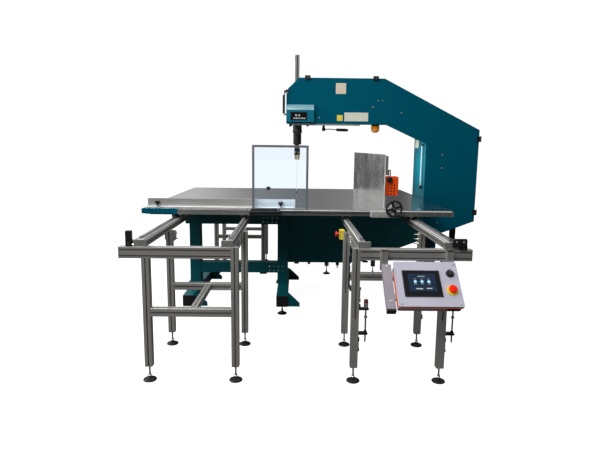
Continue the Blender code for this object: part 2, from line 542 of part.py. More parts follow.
fence = combine(box(-1.1810, 0.0030, 0.9860, 0.9935, TABLE_Z1 + GAP, 1.0690),
                [box(-1.1805, 0.0025, 0.9440, 0.9900, TABLE_Z1 + GAP, 1.0030)])
set_origin(finish(fence, "cross_fence", "steel"), T)
for nm, x in (("cross_fence_knob_left", -1.100), ("cross_fence_knob_right", -0.1135)):
    k = turned([(0.0, 1.0500), (0.016, 1.0500), (0.0215, 1.0460), (0.0215, 1.0360), (0.012, 1.0310), (0.0065, 1.0300),
                (0.0065, 1.0033), (0.0, 1.0033)], (x, 0.9625, 0), (0, 0, 1), 24)
    k = combine(k, [cyl((x + 0.0245 * math.cos(a), 0.9625 + 0.0245 * math.sin(a), 1.033), (0, 0, 1), 0.0052, 0.02, 12)
                    for a in (math.radians(60 * i) for i in range(6))], 'DIFFERENCE')
    set_origin(finish(k, nm, "black"), (x, 0.9625, 1.04))

# ---------------------------------------------------------------- guard window
GW = (-0.336, 0.104, 1.0005, 1.4995)
gy0, gy1 = 0.8930, 0.9080
fr = box(GW[0], GW[1], gy0, gy1, GW[2], GW[3])
fr = combine(fr, [box(GW[0] + 0.018, GW[1] - 0.018, gy0 - 0.02, gy1 + 0.02, GW[2] + 0.008, GW[3] - 0.018)], 'DIFFERENCE')
set_origin(finish(fr, "guard_frame", "profile"), (-0.23, 0.90, 0.98))
set_origin(finish(box(GW[0] + 0.018 + GAP, GW[1] - 0.018 - GAP, 0.8980, 0.9030, GW[2] + 0.008 + GAP, GW[3] - 0.018 - GAP),
                  "guard_pane", "glass"), (-0.23, 0.90, 0.98))
set_origin(finish(combine(box(-0.360, -0.112, 0.868, 0.9165, 0.9620, 0.9900, 0.002),
                          [box(-0.345, -0.330 + 0.19, 0.885, 0.9130, 0.985, GW[2] - GAP),
                           box(-0.355, -0.331, 0.872, 0.890, 0.945, 0.97)]), "guard_slide", "black"), (-0.23, 0.90, 0.98))

# ---------------------------------------------------------------- rip fence
rf = combine(box(FENCE_X0, FENCE_X1, 0.9750, 3.0600, TABLE_Z1 + 0.0006, 1.4355),
             [box(FENCE_X1 - 0.002, 0.7450, 0.9850, 3.0500, 1.2700, 1.4250)])
set_origin(finish(rf, "rip_fence", "steel"), (0.70, 0.975, 0.995))
HW = (0.771, 0.840, 1.021)
ca = combine(box(0.600, 0.800, 0.8460, 0.9165, 0.9450, 0.9960),
             [box(FENCE_X1 + GAP, 0.8000, 0.8465, 1.1000, TABLE_Z1 + 0.0008, 1.0080), cyl((HW[0], 0.8460, HW[2]), (0, 1, 0), 0.020, 0.060, 20),
              box(HW[0] - 0.0195, HW[0] + 0.0195, 0.8462, 0.9058, 0.99, HW[2]),
              box(FENCE_X1 + GAP, 0.734, 0.985, 1.095, 1.005, 1.1034), cyl((HW[0], 0.8405, HW[2]), (0, 1, 0), 0.007, 0.02, 14)])
set_origin(finish(ca, "fence_carriage", "cast"), (0.70, 0.975, 0.995))
hw = turned([(0.0585, 0.0085), (0.0625, 0.0070), (0.0670, 0.0), (0.0625, -0.0070), (0.0585, -0.0085), (0.0540, -0.0070),
             (0.0520, 0.0), (0.0540, 0.0070), (0.0585, 0.0085)], (HW[0], 0.822, HW[2]), (0, -1, 0), 36)
p = [cyl((HW[0], 0.8120, HW[2]), (0, 1, 0), 0.0150, 0.0275, 20)]
for a in (0.3, 0.3 + math.pi / 2, 0.3 + math.pi, 0.3 + 1.5 * math.pi):
    p.append(cyl((HW[0], 0.822, HW[2]), (math.cos(a), 0, math.sin(a)), 0.0052, 0.056, 10))
hw = combine(hw, p)
set_origin(finish(hw, "fence_handwheel", "black"), (HW[0], 0.822, HW[2]))
fb = combine(box(FENCE_X1 + GAP, 0.8350, 1.0000, 1.0900, 1.1040, 1.2600, 0.003),
             [cyl((0.7600, 0.9780, 1.2350), (0, 1, 0), 0.0235, 0.0240, 20),
              rod([(0.772, 1.045, 1.250), (0.772, 1.045, 1.300), (0.764, 1.045, 1.309), (0.752, 1.045, 1.300)], 0.006, 2)])
set_origin(finish(fb, "fence_box", "orange"), (0.70, 0.975, 0.995))

# ---------------------------------------------------------------- control station
def pbox(x0, x1, n0, n1, v0, v1, bevel=0.0):
    """Box in panel terms: across, out of the face (n, positive outwards), down the face (v)."""
    return tilt(box(x0, x1, -n1, -n0, -v1, -v0, bevel))


def pcyl(x, v, n0, n1, r, segs=24, r2=None):
    return tilt(cyl((x, -n0, -v), (0, -1, 0), r, n1 - n0, segs, r2))


hl = combine(box(0.527, 0.571, -0.0647, -0.0247, 0.745, 0.8700),
             [pbox(-0.2590, -0.2053, -0.052, -0.010, 0.002, PANEL_L + 0.022)])
finish(hl, "control_bracket_left", "profile")
hs = combine(pbox(-0.1960, 0.1800, -0.070, -0.0123, 0.006, PANEL_L - 0.006, 0.004),
             [pbox(-0.2049, -0.190, -0.045, -0.020, 0.05, 0.09), pbox(-0.2049, -0.190, -0.045, -0.020, 0.20, 0.24)])
finish(hs, "control_housing", "grey")
pn = pbox(-0.1930, 0.1860, -0.0120, 0.0, -0.011, PANEL_L, 0.002)
pn = combine(pn, [pcyl(0.131, 0.189, 0.0005 - 0.004, 0.003, 0.033, 32)])
pn = combine(pn, [pcyl(0.131, 0.189, -0.0070, 0.010, 0.0157, 24)], 'DIFFERENCE')
finish(pn, "control_panel", "grey")
finish(pbox(-0.150, 0.0725, GAP, 0.006, 0.054, 0.233, 0.0015), "touch_screen", "screen")
ms = combine(pcyl(0.136, 0.075, GAP, 0.014, 0.023, 24), [pbox(0.128, 0.144, 0.010, 0.024, 0.053, 0.097, 0.003)])
N = Vector((0, -1, 0))
rotm = Matrix.Rotation(PANEL_TILT, 3, 'X')


def on_panel(x, v, n):
    q = rotm @ Vector((x, -n, -v))
    return (PANEL_TOP[0] + q.x, PANEL_TOP[1] + q.y, PANEL_TOP[2] + q.z)


set_origin(finish(ms, "mode_switch", "black"), on_panel(0.136, 0.075, 0.0))
es = combine(pcyl(0.131, 0.189, 0.0155, 0.0330, 0.0270, 28, 0.0235), [pcyl(0.131, 0.189, -0.0015, 0.020, 0.0150, 24)])
set_origin(finish(es, "panel_stop_button", "red", True), on_panel(0.131, 0.189, 0.0))

# second stop button at the inner right rail
SB = (0.3350, 0.6515, 0.8480)
bx = combine(box(0.3350, 0.3720, 0.6235, 0.6795, 0.8090, 0.8810, 0.003), [cyl((0.3300, SB[1], SB[2]), (1, 0, 0), 0.0106, 0.014, 20)], 'DIFFERENCE')
finish(bx, "side_stop_box", "yellow")
sb = combine(cyl((0.3380, SB[1], SB[2]), (-1, 0, 0), 0.0100, 0.022, 20), [cyl((0.3210, SB[1], SB[2]), (-1, 0, 0), 0.0200, 0.0160, 24, 0.0165)])
set_origin(finish(sb, "side_stop_button", "red", True), SB)

# floor pins at the right-hand frame
for nm, x in (("floor_pin_left", PIN_X[0]), ("floor_pin_right", PIN_X[1])):
    q = combine(cyl((x, 0.0, 0.262), (0, 0, 1), 0.0052, 0.245, 14),
                [turned([(0.0, 0.545), (0.0115, 0.545), (0.0140, 0.541), (0.0140, 0.4915), (0.0, 0.4915)], (x, 0, 0), (0, 0, 1), 20),
                 cyl((x, 0, 0.425), (0, 0, 1), 0.0105, 0.012, 16)])
    set_origin(finish(q, nm, "black"), (x, 0.0, 0.50))

bpy.data.collections.remove(tools)
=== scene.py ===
# Vertical band saw with sliding table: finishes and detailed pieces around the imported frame.
import json
import math
import bpy
import bmesh
from mathutils import Vector, Matrix


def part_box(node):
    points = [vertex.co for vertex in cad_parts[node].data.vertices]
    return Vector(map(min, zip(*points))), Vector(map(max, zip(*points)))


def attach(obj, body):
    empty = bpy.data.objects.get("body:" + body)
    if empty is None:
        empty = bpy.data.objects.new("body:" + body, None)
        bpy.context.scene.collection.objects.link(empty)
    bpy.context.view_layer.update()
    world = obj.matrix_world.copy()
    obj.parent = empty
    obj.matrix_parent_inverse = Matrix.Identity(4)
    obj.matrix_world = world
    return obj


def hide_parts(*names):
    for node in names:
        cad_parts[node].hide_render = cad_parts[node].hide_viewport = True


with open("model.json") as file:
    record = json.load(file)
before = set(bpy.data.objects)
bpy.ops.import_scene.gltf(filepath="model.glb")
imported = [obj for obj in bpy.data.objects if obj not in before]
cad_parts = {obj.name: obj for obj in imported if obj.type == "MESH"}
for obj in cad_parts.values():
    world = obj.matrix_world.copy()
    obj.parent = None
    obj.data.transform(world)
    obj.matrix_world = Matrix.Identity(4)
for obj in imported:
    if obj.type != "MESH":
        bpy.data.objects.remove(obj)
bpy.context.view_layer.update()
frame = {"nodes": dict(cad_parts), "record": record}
RECORD = frame["record"]

# ------------------------------------------------------------------ working coordinates
# X = 0 near the saw band, Y = 0 on the front legs, Z = 0 on the floor.
_lo, _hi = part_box("saw_band")
_tl, _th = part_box("table_top")
SX = -0.0 - (_tl.x + 1.2109)
SY = -(_tl.y - 0.9420)
SX, SY = 0.30025 if abs(SX - 0.30025) < 1e-3 else SX, 1.58041 if abs(SY - 1.58041) < 1e-3 else SY


def W(x, y, z):
    return Vector((x - SX, y - SY, z))


# ------------------------------------------------------------------ camera
YAW, PITCH, ROLL = 0.0108886, 0.1526217, 0.0114429
cy, sy, cp, sp, cr, sr = (math.cos(YAW), math.sin(YAW), math.cos(PITCH), math.sin(PITCH), math.cos(ROLL), math.sin(ROLL))
fwd = Vector((sy * cp, cy * cp, -sp))
r0 = Vector((cy, -sy, 0.0))
u0 = r0.cross(fwd)
right = r0 * cr + u0 * sr
upv = -r0 * sr + u0 * cr
cam_data = bpy.data.cameras.new("camera")
cam_data.sensor_width = 36.0
cam_data.lens = 30.0744
cam_data.clip_start = 0.1
cam_data.clip_end = 200.0
cam = bpy.data.objects.new("camera", cam_data)
bpy.context.scene.collection.objects.link(cam)
rot = Matrix((right, upv, -fwd)).transposed().to_4x4()
cam.matrix_world = Matrix.Translation(W(0.0, -3.03581, 1.48)) @ rot
bpy.context.scene.camera = cam


# ------------------------------------------------------------------ materials
def N(nt, kind, **v):
    n = nt.nodes.new(kind)
    for k, x in v.items():
        setattr(n, k, x)
    return n


def srgb(h):
    c = [int(h[i:i + 2], 16) / 255 for i in (0, 2, 4)]
    return tuple(x / 12.92 if x <= 0.04045 else ((x + 0.055) / 1.055) ** 2.4 for x in c)


def coords(nt, stretch=(1, 1, 1)):
    tc = N(nt, "ShaderNodeTexCoord")
    mp = N(nt, "ShaderNodeMapping")
    mp.inputs["Scale"].default_value = stretch
    nt.links.new(tc.outputs["Object"], mp.inputs["Vector"])
    return mp.outputs["Vector"]


def noise(nt, vec, scale, detail=3.0, rough=0.5, distortion=0.0):
    n = N(nt, "ShaderNodeTexNoise")
    n.inputs["Scale"].default_value = scale
    n.inputs["Detail"].default_value = detail
    n.inputs["Roughness"].default_value = rough
    n.inputs["Distortion"].default_value = distortion
    nt.links.new(vec, n.inputs["Vector"])
    return n.outputs["Fac"]


def remap(nt, fac, lo, hi, a=0.3, b=0.7):
    n = N(nt, "ShaderNodeMapRange")
    n.inputs["From Min"].default_value = a
    n.inputs["From Max"].default_value = b
    n.inputs["To Min"].default_value = lo
    n.inputs["To Max"].default_value = hi
    nt.links.new(fac, n.inputs["Value"])
    return n.outputs["Result"]


def mixc(nt, fac, c1, c2, blend="MIX"):
    n = N(nt, "ShaderNodeMix", data_type="RGBA", blend_type=blend)
    for s, v in ((n.inputs[6], c1), (n.inputs[7], c2)):
        if hasattr(v, "links") or hasattr(v, "is_linked"):
            nt.links.new(v, s)
        else:
            s.default_value = (v[0], v[1], v[2], 1.0)
    if isinstance(fac, float):
        n.inputs[0].default_value = fac
    else:
        nt.links.new(fac, n.inputs[0])
    return n.outputs[2]


def surface(name, rgb, rough=0.4, metal=0.0, vary=0.10, scale=4.0, stretch=(1, 1, 1), rvary=0.06, bump=0.05,
            bscale=500.0, bstretch=None, coat=0.0, spec=0.5, tint=None, wave=0.0, wscale=4.0, grime=0.0, detail=4.0):
    m = bpy.data.materials.new(name)
    m.use_nodes = True
    nt = m.node_tree
    b = nt.nodes["Principled BSDF"]
    v = coords(nt, stretch)
    f = noise(nt, v, scale, detail, 0.6)
    lo = tuple(max(0.0, c * (1 - vary)) for c in rgb)
    hi = tuple(min(1.0, c * (1 + vary)) for c in (tint or rgb))
    col = mixc(nt, remap(nt, f, 0.0, 1.0, 0.28, 0.72), lo, hi)
    if grime:
        g = noise(nt, coords(nt), 1.7, 5.0, 0.65, 0.4)
        gf = remap(nt, g, 0.0, grime, 0.52, 0.75)
        col = mixc(nt, gf, col, (0.06, 0.055, 0.05))
    nt.links.new(col, b.inputs["Base Color"])
    f2 = noise(nt, v, scale * 2.3, 3.0, 0.6)
    nt.links.new(remap(nt, f2, max(0.02, rough - rvary), min(1.0, rough + rvary)), b.inputs["Roughness"])
    b.inputs["Metallic"].default_value = metal
    b.inputs["Specular IOR Level"].default_value = spec
    if coat:
        b.inputs["Coat Weight"].default_value = coat
        b.inputs["Coat Roughness"].default_value = 0.12
    if bump:
        bn = N(nt, "ShaderNodeBump")
        bn.inputs["Strength"].default_value = bump
        bn.inputs["Distance"].default_value = 0.0006
        nt.links.new(noise(nt, coords(nt, bstretch or stretch), bscale, 2.0, 0.5), bn.inputs["Height"])
        if wave:
            b2 = N(nt, "ShaderNodeBump")
            b2.inputs["Strength"].default_value = wave
            b2.inputs["Distance"].default_value = 0.004
            nt.links.new(noise(nt, coords(nt), wscale, 2.0, 0.5), b2.inputs["Height"])
            nt.links.new(b2.outputs["Normal"], bn.inputs["Normal"])
        nt.links.new(bn.outputs["Normal"], b.inputs["Normal"])
    return m


def glow(m, rgb, strength):
    b = m.node_tree.nodes["Principled BSDF"]
    b.inputs["Emission Color"].default_value = (*rgb, 1.0)
    b.inputs["Emission Strength"].default_value = strength
    return m


TEAL = (0.0, 0.079, 0.127)
M = {}
M["teal"] = surface("teal_paint", TEAL, 0.50, vary=0.05, scale=2.2, bump=0.08, bscale=420, rvary=0.05, grime=0.0, spec=0.015)
M["teal_dark"] = surface("teal_paint_stand", (0.0, 0.080, 0.096), 0.42, vary=0.08, scale=2.6, bump=0.08, bscale=420, rvary=0.05, grime=0.05, spec=0.22)
# lighter glossy copy of the teal for the hood's sloping top: the gloss is real, the lighter colour is a painted
# highlight
M["teal_gloss_painted_highlight"] = surface("teal_paint_gloss_painted_highlight", (0.16, 0.30, 0.36), 0.20, vary=0.05, scale=2.6, bump=0.03, bscale=420, rvary=0.04, spec=1.0, coat=1.0)
ALU = (0.60, 0.59, 0.56)
for ax, st in (("x", (0.6, 40, 40)), ("y", (40, 0.6, 40)), ("z", (40, 40, 0.6))):
    M["alu_" + ax] = surface("anodised_aluminium_" + ax, ALU, 0.36, metal=0.86, vary=0.10, scale=1.6, stretch=st, rvary=0.05,
                             bump=0.06, bscale=9.0, bstretch=st)
M["alu_plain"] = surface("aluminium_plain", (0.55, 0.55, 0.54), 0.36, metal=0.9, vary=0.08, scale=14, rvary=0.06, bump=0.05, bscale=300)
# a darker copy of the aluminium, for the right parts of the front rail and the guide post's side strips
M["alu_dark"] = surface("darker_aluminium_bar", (0.13, 0.13, 0.13), 0.40, metal=0.5, vary=0.12, scale=6, stretch=(0.6, 8, 8), rvary=0.06, bump=0.05, bscale=200)
M["guard"] = surface("blue_grey_frame", (0.215, 0.232, 0.250), 0.42, metal=0.35, vary=0.10, scale=8, rvary=0.06, bump=0.05, bscale=300)
M["band"] = surface("saw_band_steel", (0.26, 0.26, 0.265), 0.34, metal=0.95, vary=0.12, scale=20, stretch=(8, 8, 0.6), rvary=0.06, bump=0.04, bscale=80, bstretch=(8, 8, 0.4))
M["satin"] = surface("satin_grey_casting", (0.36, 0.36, 0.36), 0.50, metal=0.10, vary=0.12, scale=20, rvary=0.08, bump=0.15, bscale=300)
M["satin_mid"] = surface("satin_grey_bar", (0.20, 0.20, 0.20), 0.48, metal=0.20, vary=0.12, scale=6, rvary=0.08, bump=0.08, bscale=300)
# pale strips laid where light catches the rail tops, the front rail top and the fence's front edge: painted highlights
M["edge"] = surface("painted_highlight_strip", (0.70, 0.70, 0.69), 0.45, metal=0.10, vary=0.08, scale=30, rvary=0.06, bump=0.10, bscale=500)
M["hook"] = surface("yellow_passivated_steel", (0.42, 0.34, 0.22), 0.36, metal=0.55, vary=0.15, scale=50, rvary=0.08, bump=0.05, bscale=300)
M["bracket"] = surface("lilac_grey_bracket", (0.245, 0.215, 0.255), 0.45, vary=0.06, scale=6, rvary=0.05, bump=0.10, bscale=600)
M["darkred"] = surface("dark_red_cap", (0.12, 0.008, 0.008), 0.35, vary=0.1, scale=30, rvary=0.05, bump=0.04, bscale=300)
M["teal_body"] = surface("teal_paint_body", (0.0, 0.105, 0.140), 0.42, vary=0.05, scale=2.2, bump=0.06, bscale=420, rvary=0.05, grime=0.02, spec=0.10)
M["cast"] = surface("cast_aluminium", (0.40, 0.40, 0.40), 0.55, metal=0.8, vary=0.14, scale=30, rvary=0.08, bump=0.25, bscale=260)
M["zinc"] = surface("zinc_plated_steel", (0.62, 0.62, 0.60), 0.30, metal=1.0, vary=0.12, scale=60, rvary=0.08, bump=0.05, bscale=400)
M["dark_steel"] = surface("blackened_steel", (0.10, 0.10, 0.105), 0.42, metal=0.8, vary=0.2, scale=50, rvary=0.1, bump=0.08, bscale=300)
M["table"] = surface("polished_table_plate", (0.57, 0.57, 0.565), 0.15, metal=1.0, vary=0.16, scale=5.0, stretch=(1, 2.2, 1), rvary=0.07,
                     bump=0.04, bscale=60.0, bstretch=(1, 9, 1), wave=0.10, wscale=7.0, detail=6.0)
M["fence"] = surface("brushed_fence_plate", (0.56, 0.56, 0.555), 0.27, metal=0.88, vary=0.22, scale=1.6, stretch=(1, 1.0, 1.0), rvary=0.10,
                     bump=0.012, bscale=40.0, bstretch=(1, 1, 14), wave=0.06, wscale=4.0, detail=2.5)
M["steel"] = surface("ground_steel", (0.55, 0.55, 0.56), 0.26, metal=1.0, vary=0.10, scale=20, stretch=(8, 8, 0.6), rvary=0.06, bump=0.04, bscale=80, bstretch=(8, 8, 0.4))
M["black"] = surface("black_moulding", (0.008, 0.008, 0.009), 0.50, spec=0.28, vary=0.3, scale=40, rvary=0.08, bump=0.12, bscale=700)
M["rubber"] = surface("black_rubber", (0.010, 0.010, 0.010), 0.72, spec=0.3, vary=0.3, scale=30, rvary=0.1, bump=0.2, bscale=350)
M["bellows"] = surface("bellows_rubber", (0.007, 0.007, 0.008), 0.58, spec=0.3, vary=0.3, scale=30, rvary=0.1, bump=0.15, bscale=300)
M["panel"] = surface("lilac_grey_paint", (0.395, 0.39, 0.47), 0.42, vary=0.05, scale=5, rvary=0.05, bump=0.10, bscale=600)
M["seal"] = surface("orange_seal", (0.60, 0.10, 0.035), 0.55, vary=0.12, scale=14, rvary=0.08, bump=0.12, bscale=300)
M["orange"] = surface("orange_paint", (0.78, 0.075, 0.006), 0.46, spec=0.22, vary=0.08, scale=9, rvary=0.06, bump=0.10, bscale=500)
M["red"] = surface("red_plastic", (0.62, 0.012, 0.010), 0.30, vary=0.08, scale=20, rvary=0.05, bump=0.04, bscale=300, coat=0.3)
M["yellow"] = surface("yellow_plastic", (0.62, 0.50, 0.03), 0.42, vary=0.08, scale=20, rvary=0.05, bump=0.06, bscale=400)
M["amber"] = glow(surface("amber_lens", (0.62, 0.20, 0.012), 0.22, vary=0.12, scale=26, rvary=0.05, bump=0.10, bscale=90, coat=0.4), (0.9, 0.30, 0.02), 0.10)
M["opal"] = glow(surface("opal_tube", (0.30, 0.50, 0.56), 0.22, vary=0.03, scale=10, rvary=0.04, bump=0.02, bscale=200, coat=0.4), (0.55, 0.80, 0.90), 0.14)
M["brass"] = surface("brass_jaw", (0.62, 0.42, 0.14), 0.32, metal=1.0, vary=0.15, scale=50, rvary=0.08, bump=0.06, bscale=300)
M["chrome"] = surface("chromed_steel", (0.75, 0.75, 0.76), 0.12, metal=1.0, vary=0.05, scale=40, rvary=0.04, bump=0.02, bscale=200)
M["cream"] = surface("cream_plate", (0.62, 0.55, 0.42), 0.42, vary=0.05, scale=30, rvary=0.05, bump=0.03, bscale=300)
M["white_plate"] = surface("pale_plate", (0.60, 0.62, 0.52), 0.40, vary=0.05, scale=30, rvary=0.05, bump=0.03, bscale=300)
M["yellow_plate"] = surface("yellow_plate", (0.70, 0.58, 0.06), 0.40, vary=0.05, scale=30, rvary=0.05, bump=0.03, bscale=300)
M["screen"] = surface("screen_glass", (0.006, 0.007, 0.010), 0.16, vary=0.2, scale=8, rvary=0.03, bump=0.01, bscale=50, spec=0.12)
M["display"] = glow(surface("lit_display", (0.008, 0.018, 0.040), 0.16, vary=0.25, scale=22, rvary=0.03, bump=0.0, spec=0.12), (0.05, 0.14, 0.32), 0.045)
M["screw_dim"] = surface("weathered_screw", (0.26, 0.23, 0.22), 0.48, metal=0.4, vary=0.2, scale=60, rvary=0.08, bump=0.05, bscale=400)
M["alu_fence"] = surface("cross_fence_aluminium", (0.62, 0.62, 0.615), 0.38, metal=0.80, vary=0.10, scale=1.6, stretch=(0.6, 40, 40), rvary=0.05, bump=0.06, bscale=9.0, bstretch=(0.6, 40, 40))
# dark strips laid inside slots and along the rail tops: painted shade of the slots
M["groove"] = surface("painted_slot_shade", (0.048, 0.046, 0.043), 0.60, vary=0.25, scale=20, rvary=0.08, bump=0.06, bscale=300, spec=0.25)
# the door's teal paint again in its own lighter, greyer tone for the shaded lower cover under the table: painted shade
M["teal_cover"] = surface("teal_paint_cover_shade_tone", (0.006, 0.155, 0.180), 0.42, vary=0.08, scale=2.6, bump=0.08, bscale=420, rvary=0.05, grime=0.04, spec=0.22)
M["teal_hood"] = surface("teal_paint_hood", (0.0, 0.125, 0.190), 0.40, vary=0.05, scale=3.0, bump=0.05, bscale=420, rvary=0.05, spec=0.15)
M["alu_rail"] = surface("front_rail_aluminium", (0.30, 0.30, 0.30), 0.36, metal=0.85, vary=0.12, scale=1.6, stretch=(0.6, 40, 40), rvary=0.05, bump=0.06, bscale=9.0, bstretch=(0.6, 40, 40))
M["icon"] = glow(surface("lit_symbols", (0.25, 0.50, 0.62), 0.3, vary=0.1, scale=60, bump=0.0), (0.30, 0.62, 0.85), 0.42)
M["digits"] = glow(surface("lit_digits", (0.4, 0.42, 0.42), 0.3, vary=0.2, scale=60, bump=0.0), (0.5, 0.55, 0.60), 0.10)
M["wheel"] = surface("turned_cast_iron", (0.24, 0.245, 0.25), 0.42, metal=0.9, vary=0.12, scale=12, rvary=0.08, bump=0.12, bscale=200)
M["motor"] = surface("motor_paint", (0.12, 0.13, 0.14), 0.5, metal=0.2, vary=0.1, scale=12, rvary=0.08, bump=0.2, bscale=260)
M["sole"] = surface("foot_moulding", (0.006, 0.006, 0.006), 0.50, spec=0.22, vary=0.25, scale=40, rvary=0.1, bump=0.15, bscale=400)
M["redlit"] = glow(surface("lit_red_cap", (0.50, 0.006, 0.002), 0.45, vary=0.08, scale=20, rvary=0.05, bump=0.03, bscale=300, spec=0.08), (1.0, 0.035, 0.002), 0.30)


def pane_material():
    m = bpy.data.materials.new("clear_pane")
    m.use_nodes = True
    nt = m.node_tree
    b = nt.nodes["Principled BSDF"]
    f = noise(nt, coords(nt), 5.0, 2.0)
    nt.links.new(mixc(nt, f, (0.80, 0.89, 0.975), (0.83, 0.91, 0.985)), b.inputs["Base Color"])
    nt.links.new(remap(nt, f, 0.0, 0.015), b.inputs["Roughness"])
    b.inputs["Transmission Weight"].default_value = 1.0
    b.inputs["IOR"].default_value = 1.05
    out = nt.nodes["Material Output"]
    lp = N(nt, "ShaderNodeLightPath")
    tr = N(nt, "ShaderNodeBsdfTransparent")
    tr.inputs["Color"].default_value = (0.94, 0.97, 1.0, 1.0)
    mx = N(nt, "ShaderNodeMixShader")
    nt.links.new(lp.outputs["Is Shadow Ray"], mx.inputs[0])
    nt.links.new(b.outputs[0], mx.inputs[1])
    nt.links.new(tr.outputs[0], mx.inputs[2])
    nt.links.new(mx.outputs[0], out.inputs["Surface"])
    return m


M["pane"] = pane_material()


# ------------------------------------------------------------------ mesh helpers
class Piece:
    """One visible piece: shapes are added in working coordinates, then done() makes the object."""

    def __init__(self, name, body, mats, rep=(), slot=None):
        self.name, self.body, self.rep, self.slot = name, body, rep, slot
        self.mats = [M[k] for k in mats]
        self.keys = list(mats)
        self.bm = bmesh.new()

    def mi(self, key):
        if key is None:
            return 0
        if key not in self.keys:
            self.keys.append(key)
            self.mats.append(M[key])
        return self.keys.index(key)

    def _take(self, bm, key, world=False):
        i = self.mi(key)
        for f in bm.faces:
            f.material_index = i
            f.smooth = True
        if not world:
            bmesh.ops.translate(bm, vec=(-SX, -SY, 0), verts=bm.verts)
        bmesh.ops.recalc_face_normals(bm, faces=bm.faces)
        me = bpy.data.meshes.new("tmp")
        bm.to_mesh(me)
        bm.free()
        self.bm.from_mesh(me)
        bpy.data.meshes.remove(me)
        return self

    def box(self, x0, x1, y0, y1, z0, z1, r=0.0, key=None, seg=2, m=None):
        bm = bmesh.new()
        bmesh.ops.create_cube(bm, size=1.0)
        bmesh.ops.scale(bm, vec=(x1 - x0, y1 - y0, z1 - z0), verts=bm.verts)
        bmesh.ops.translate(bm, vec=((x0 + x1) / 2, (y0 + y1) / 2, (z0 + z1) / 2), verts=bm.verts)
        if r:
            bmesh.ops.bevel(bm, geom=list(bm.edges), offset=r, segments=seg, profile=0.5, affect='EDGES', clamp_overlap=True)
        if m is not None:
            bmesh.ops.transform(bm, matrix=m, verts=bm.verts)
        return self._take(bm, key)

    def cyl(self, p, axis, r, length, segs=24, r2=None, key=None, bev=0.0, m=None):
        bm = bmesh.new()
        bmesh.ops.create_cone(bm, cap_ends=True, cap_tris=False, segments=segs, radius1=r,
                              radius2=r if r2 is None else r2, depth=length)
        bmesh.ops.translate(bm, vec=(0, 0, length / 2), verts=bm.verts)
        if bev:
            rim = [e for e in bm.edges if abs(e.verts[0].co.z - e.verts[1].co.z) < 1e-9]
            bmesh.ops.bevel(bm, geom=rim, offset=bev, segments=2, profile=0.5, affect='EDGES', clamp_overlap=True)
        q = Vector((0, 0, 1)).rotation_difference(Vector(axis).normalized()).to_matrix()
        bmesh.ops.rotate(bm, cent=(0, 0, 0), matrix=q, verts=bm.verts)
        bmesh.ops.translate(bm, vec=p, verts=bm.verts)
        if m is not None:
            bmesh.ops.transform(bm, matrix=m, verts=bm.verts)
        return self._take(bm, key)

    def turn(self, prof, p, axis=(0, 0, 1), steps=32, key=None, m=None):
        """Profile of (radius, height) turned about axis through p."""
        bm = bmesh.new()
        vs = [bm.verts.new((r, 0, h)) for r, h in prof]
        es = [bm.edges.new((vs[i], vs[i + 1])) for i in range(len(vs) - 1)]
        bmesh.ops.spin(bm, geom=vs + es, cent=(0, 0, 0), axis=(0, 0, 1), angle=2 * math.pi, steps=steps, use_merge=True, use_duplicate=False)
        bmesh.ops.remove_doubles(bm, verts=bm.verts, dist=1e-6)
        q = Vector((0, 0, 1)).rotation_difference(Vector(axis).normalized()).to_matrix()
        bmesh.ops.rotate(bm, cent=(0, 0, 0), matrix=q, verts=bm.verts)
        bmesh.ops.translate(bm, vec=p, verts=bm.verts)
        if m is not None:
            bmesh.ops.transform(bm, matrix=m, verts=bm.verts)
        return self._take(bm, key)

    def ball(self, p, r, key=None, segs=20):
        bm = bmesh.new()
        bmesh.ops.create_uvsphere(bm, u_segments=segs, v_segments=segs // 2, radius=r)
        bmesh.ops.translate(bm, vec=p, verts=bm.verts)
        return self._take(bm, key)

    def sweep(self, section, p0, p1, up, key=None, r=0.0, m=None):
        """Section points (side, up) carried straight from p0 to p1."""
        p0, p1 = Vector(p0), Vector(p1)
        d = (p1 - p0).normalized()
        upd = Vector(up).normalized()
        side = d.cross(upd).normalized()
        bm = bmesh.new()
        a = [bm.verts.new(p0 + side * s + upd * t) for s, t in section]
        b = [bm.verts.new(p1 + side * s + upd * t) for s, t in section]
        n = len(section)
        for i in range(n):
            bm.faces.new((a[i], a[(i + 1) % n], b[(i + 1) % n], b[i]))
        c0 = bm.faces.new(a)
        c1 = bm.faces.new(list(reversed(b)))
        if r:
            bmesh.ops.bevel(bm, geom=list(bm.edges), offset=r, segments=2, profile=0.5, affect='EDGES', clamp_overlap=True)
        if m is not None:
            bmesh.ops.transform(bm, matrix=m, verts=bm.verts)
        return self._take(bm, key)

    def plate(self, loop, plane, d0, d1, r=0.0, key=None, m=None, seg=2):
        """Closed outline extruded: 'XZ' along Y, 'YZ' along X, 'XY' along Z."""
        def put(a, b, d):
            return {"XZ": (a, d, b), "YZ": (d, a, b), "XY": (a, b, d)}[plane]
        bm = bmesh.new()
        a = [bm.verts.new(put(s, t, d0)) for s, t in loop]
        b = [bm.verts.new(put(s, t, d1)) for s, t in loop]
        n = len(loop)
        for i in range(n):
            bm.faces.new((a[i], a[(i + 1) % n], b[(i + 1) % n], b[i]))
        bm.faces.new(a)
        bm.faces.new(list(reversed(b)))
        bmesh.ops.recalc_face_normals(bm, faces=bm.faces)
        if r:
            bmesh.ops.bevel(bm, geom=list(bm.edges), offset=r, segments=seg, profile=0.5, affect='EDGES', clamp_overlap=True)
        if m is not None:
            bmesh.ops.transform(bm, matrix=m, verts=bm.verts)
        return self._take(bm, key)

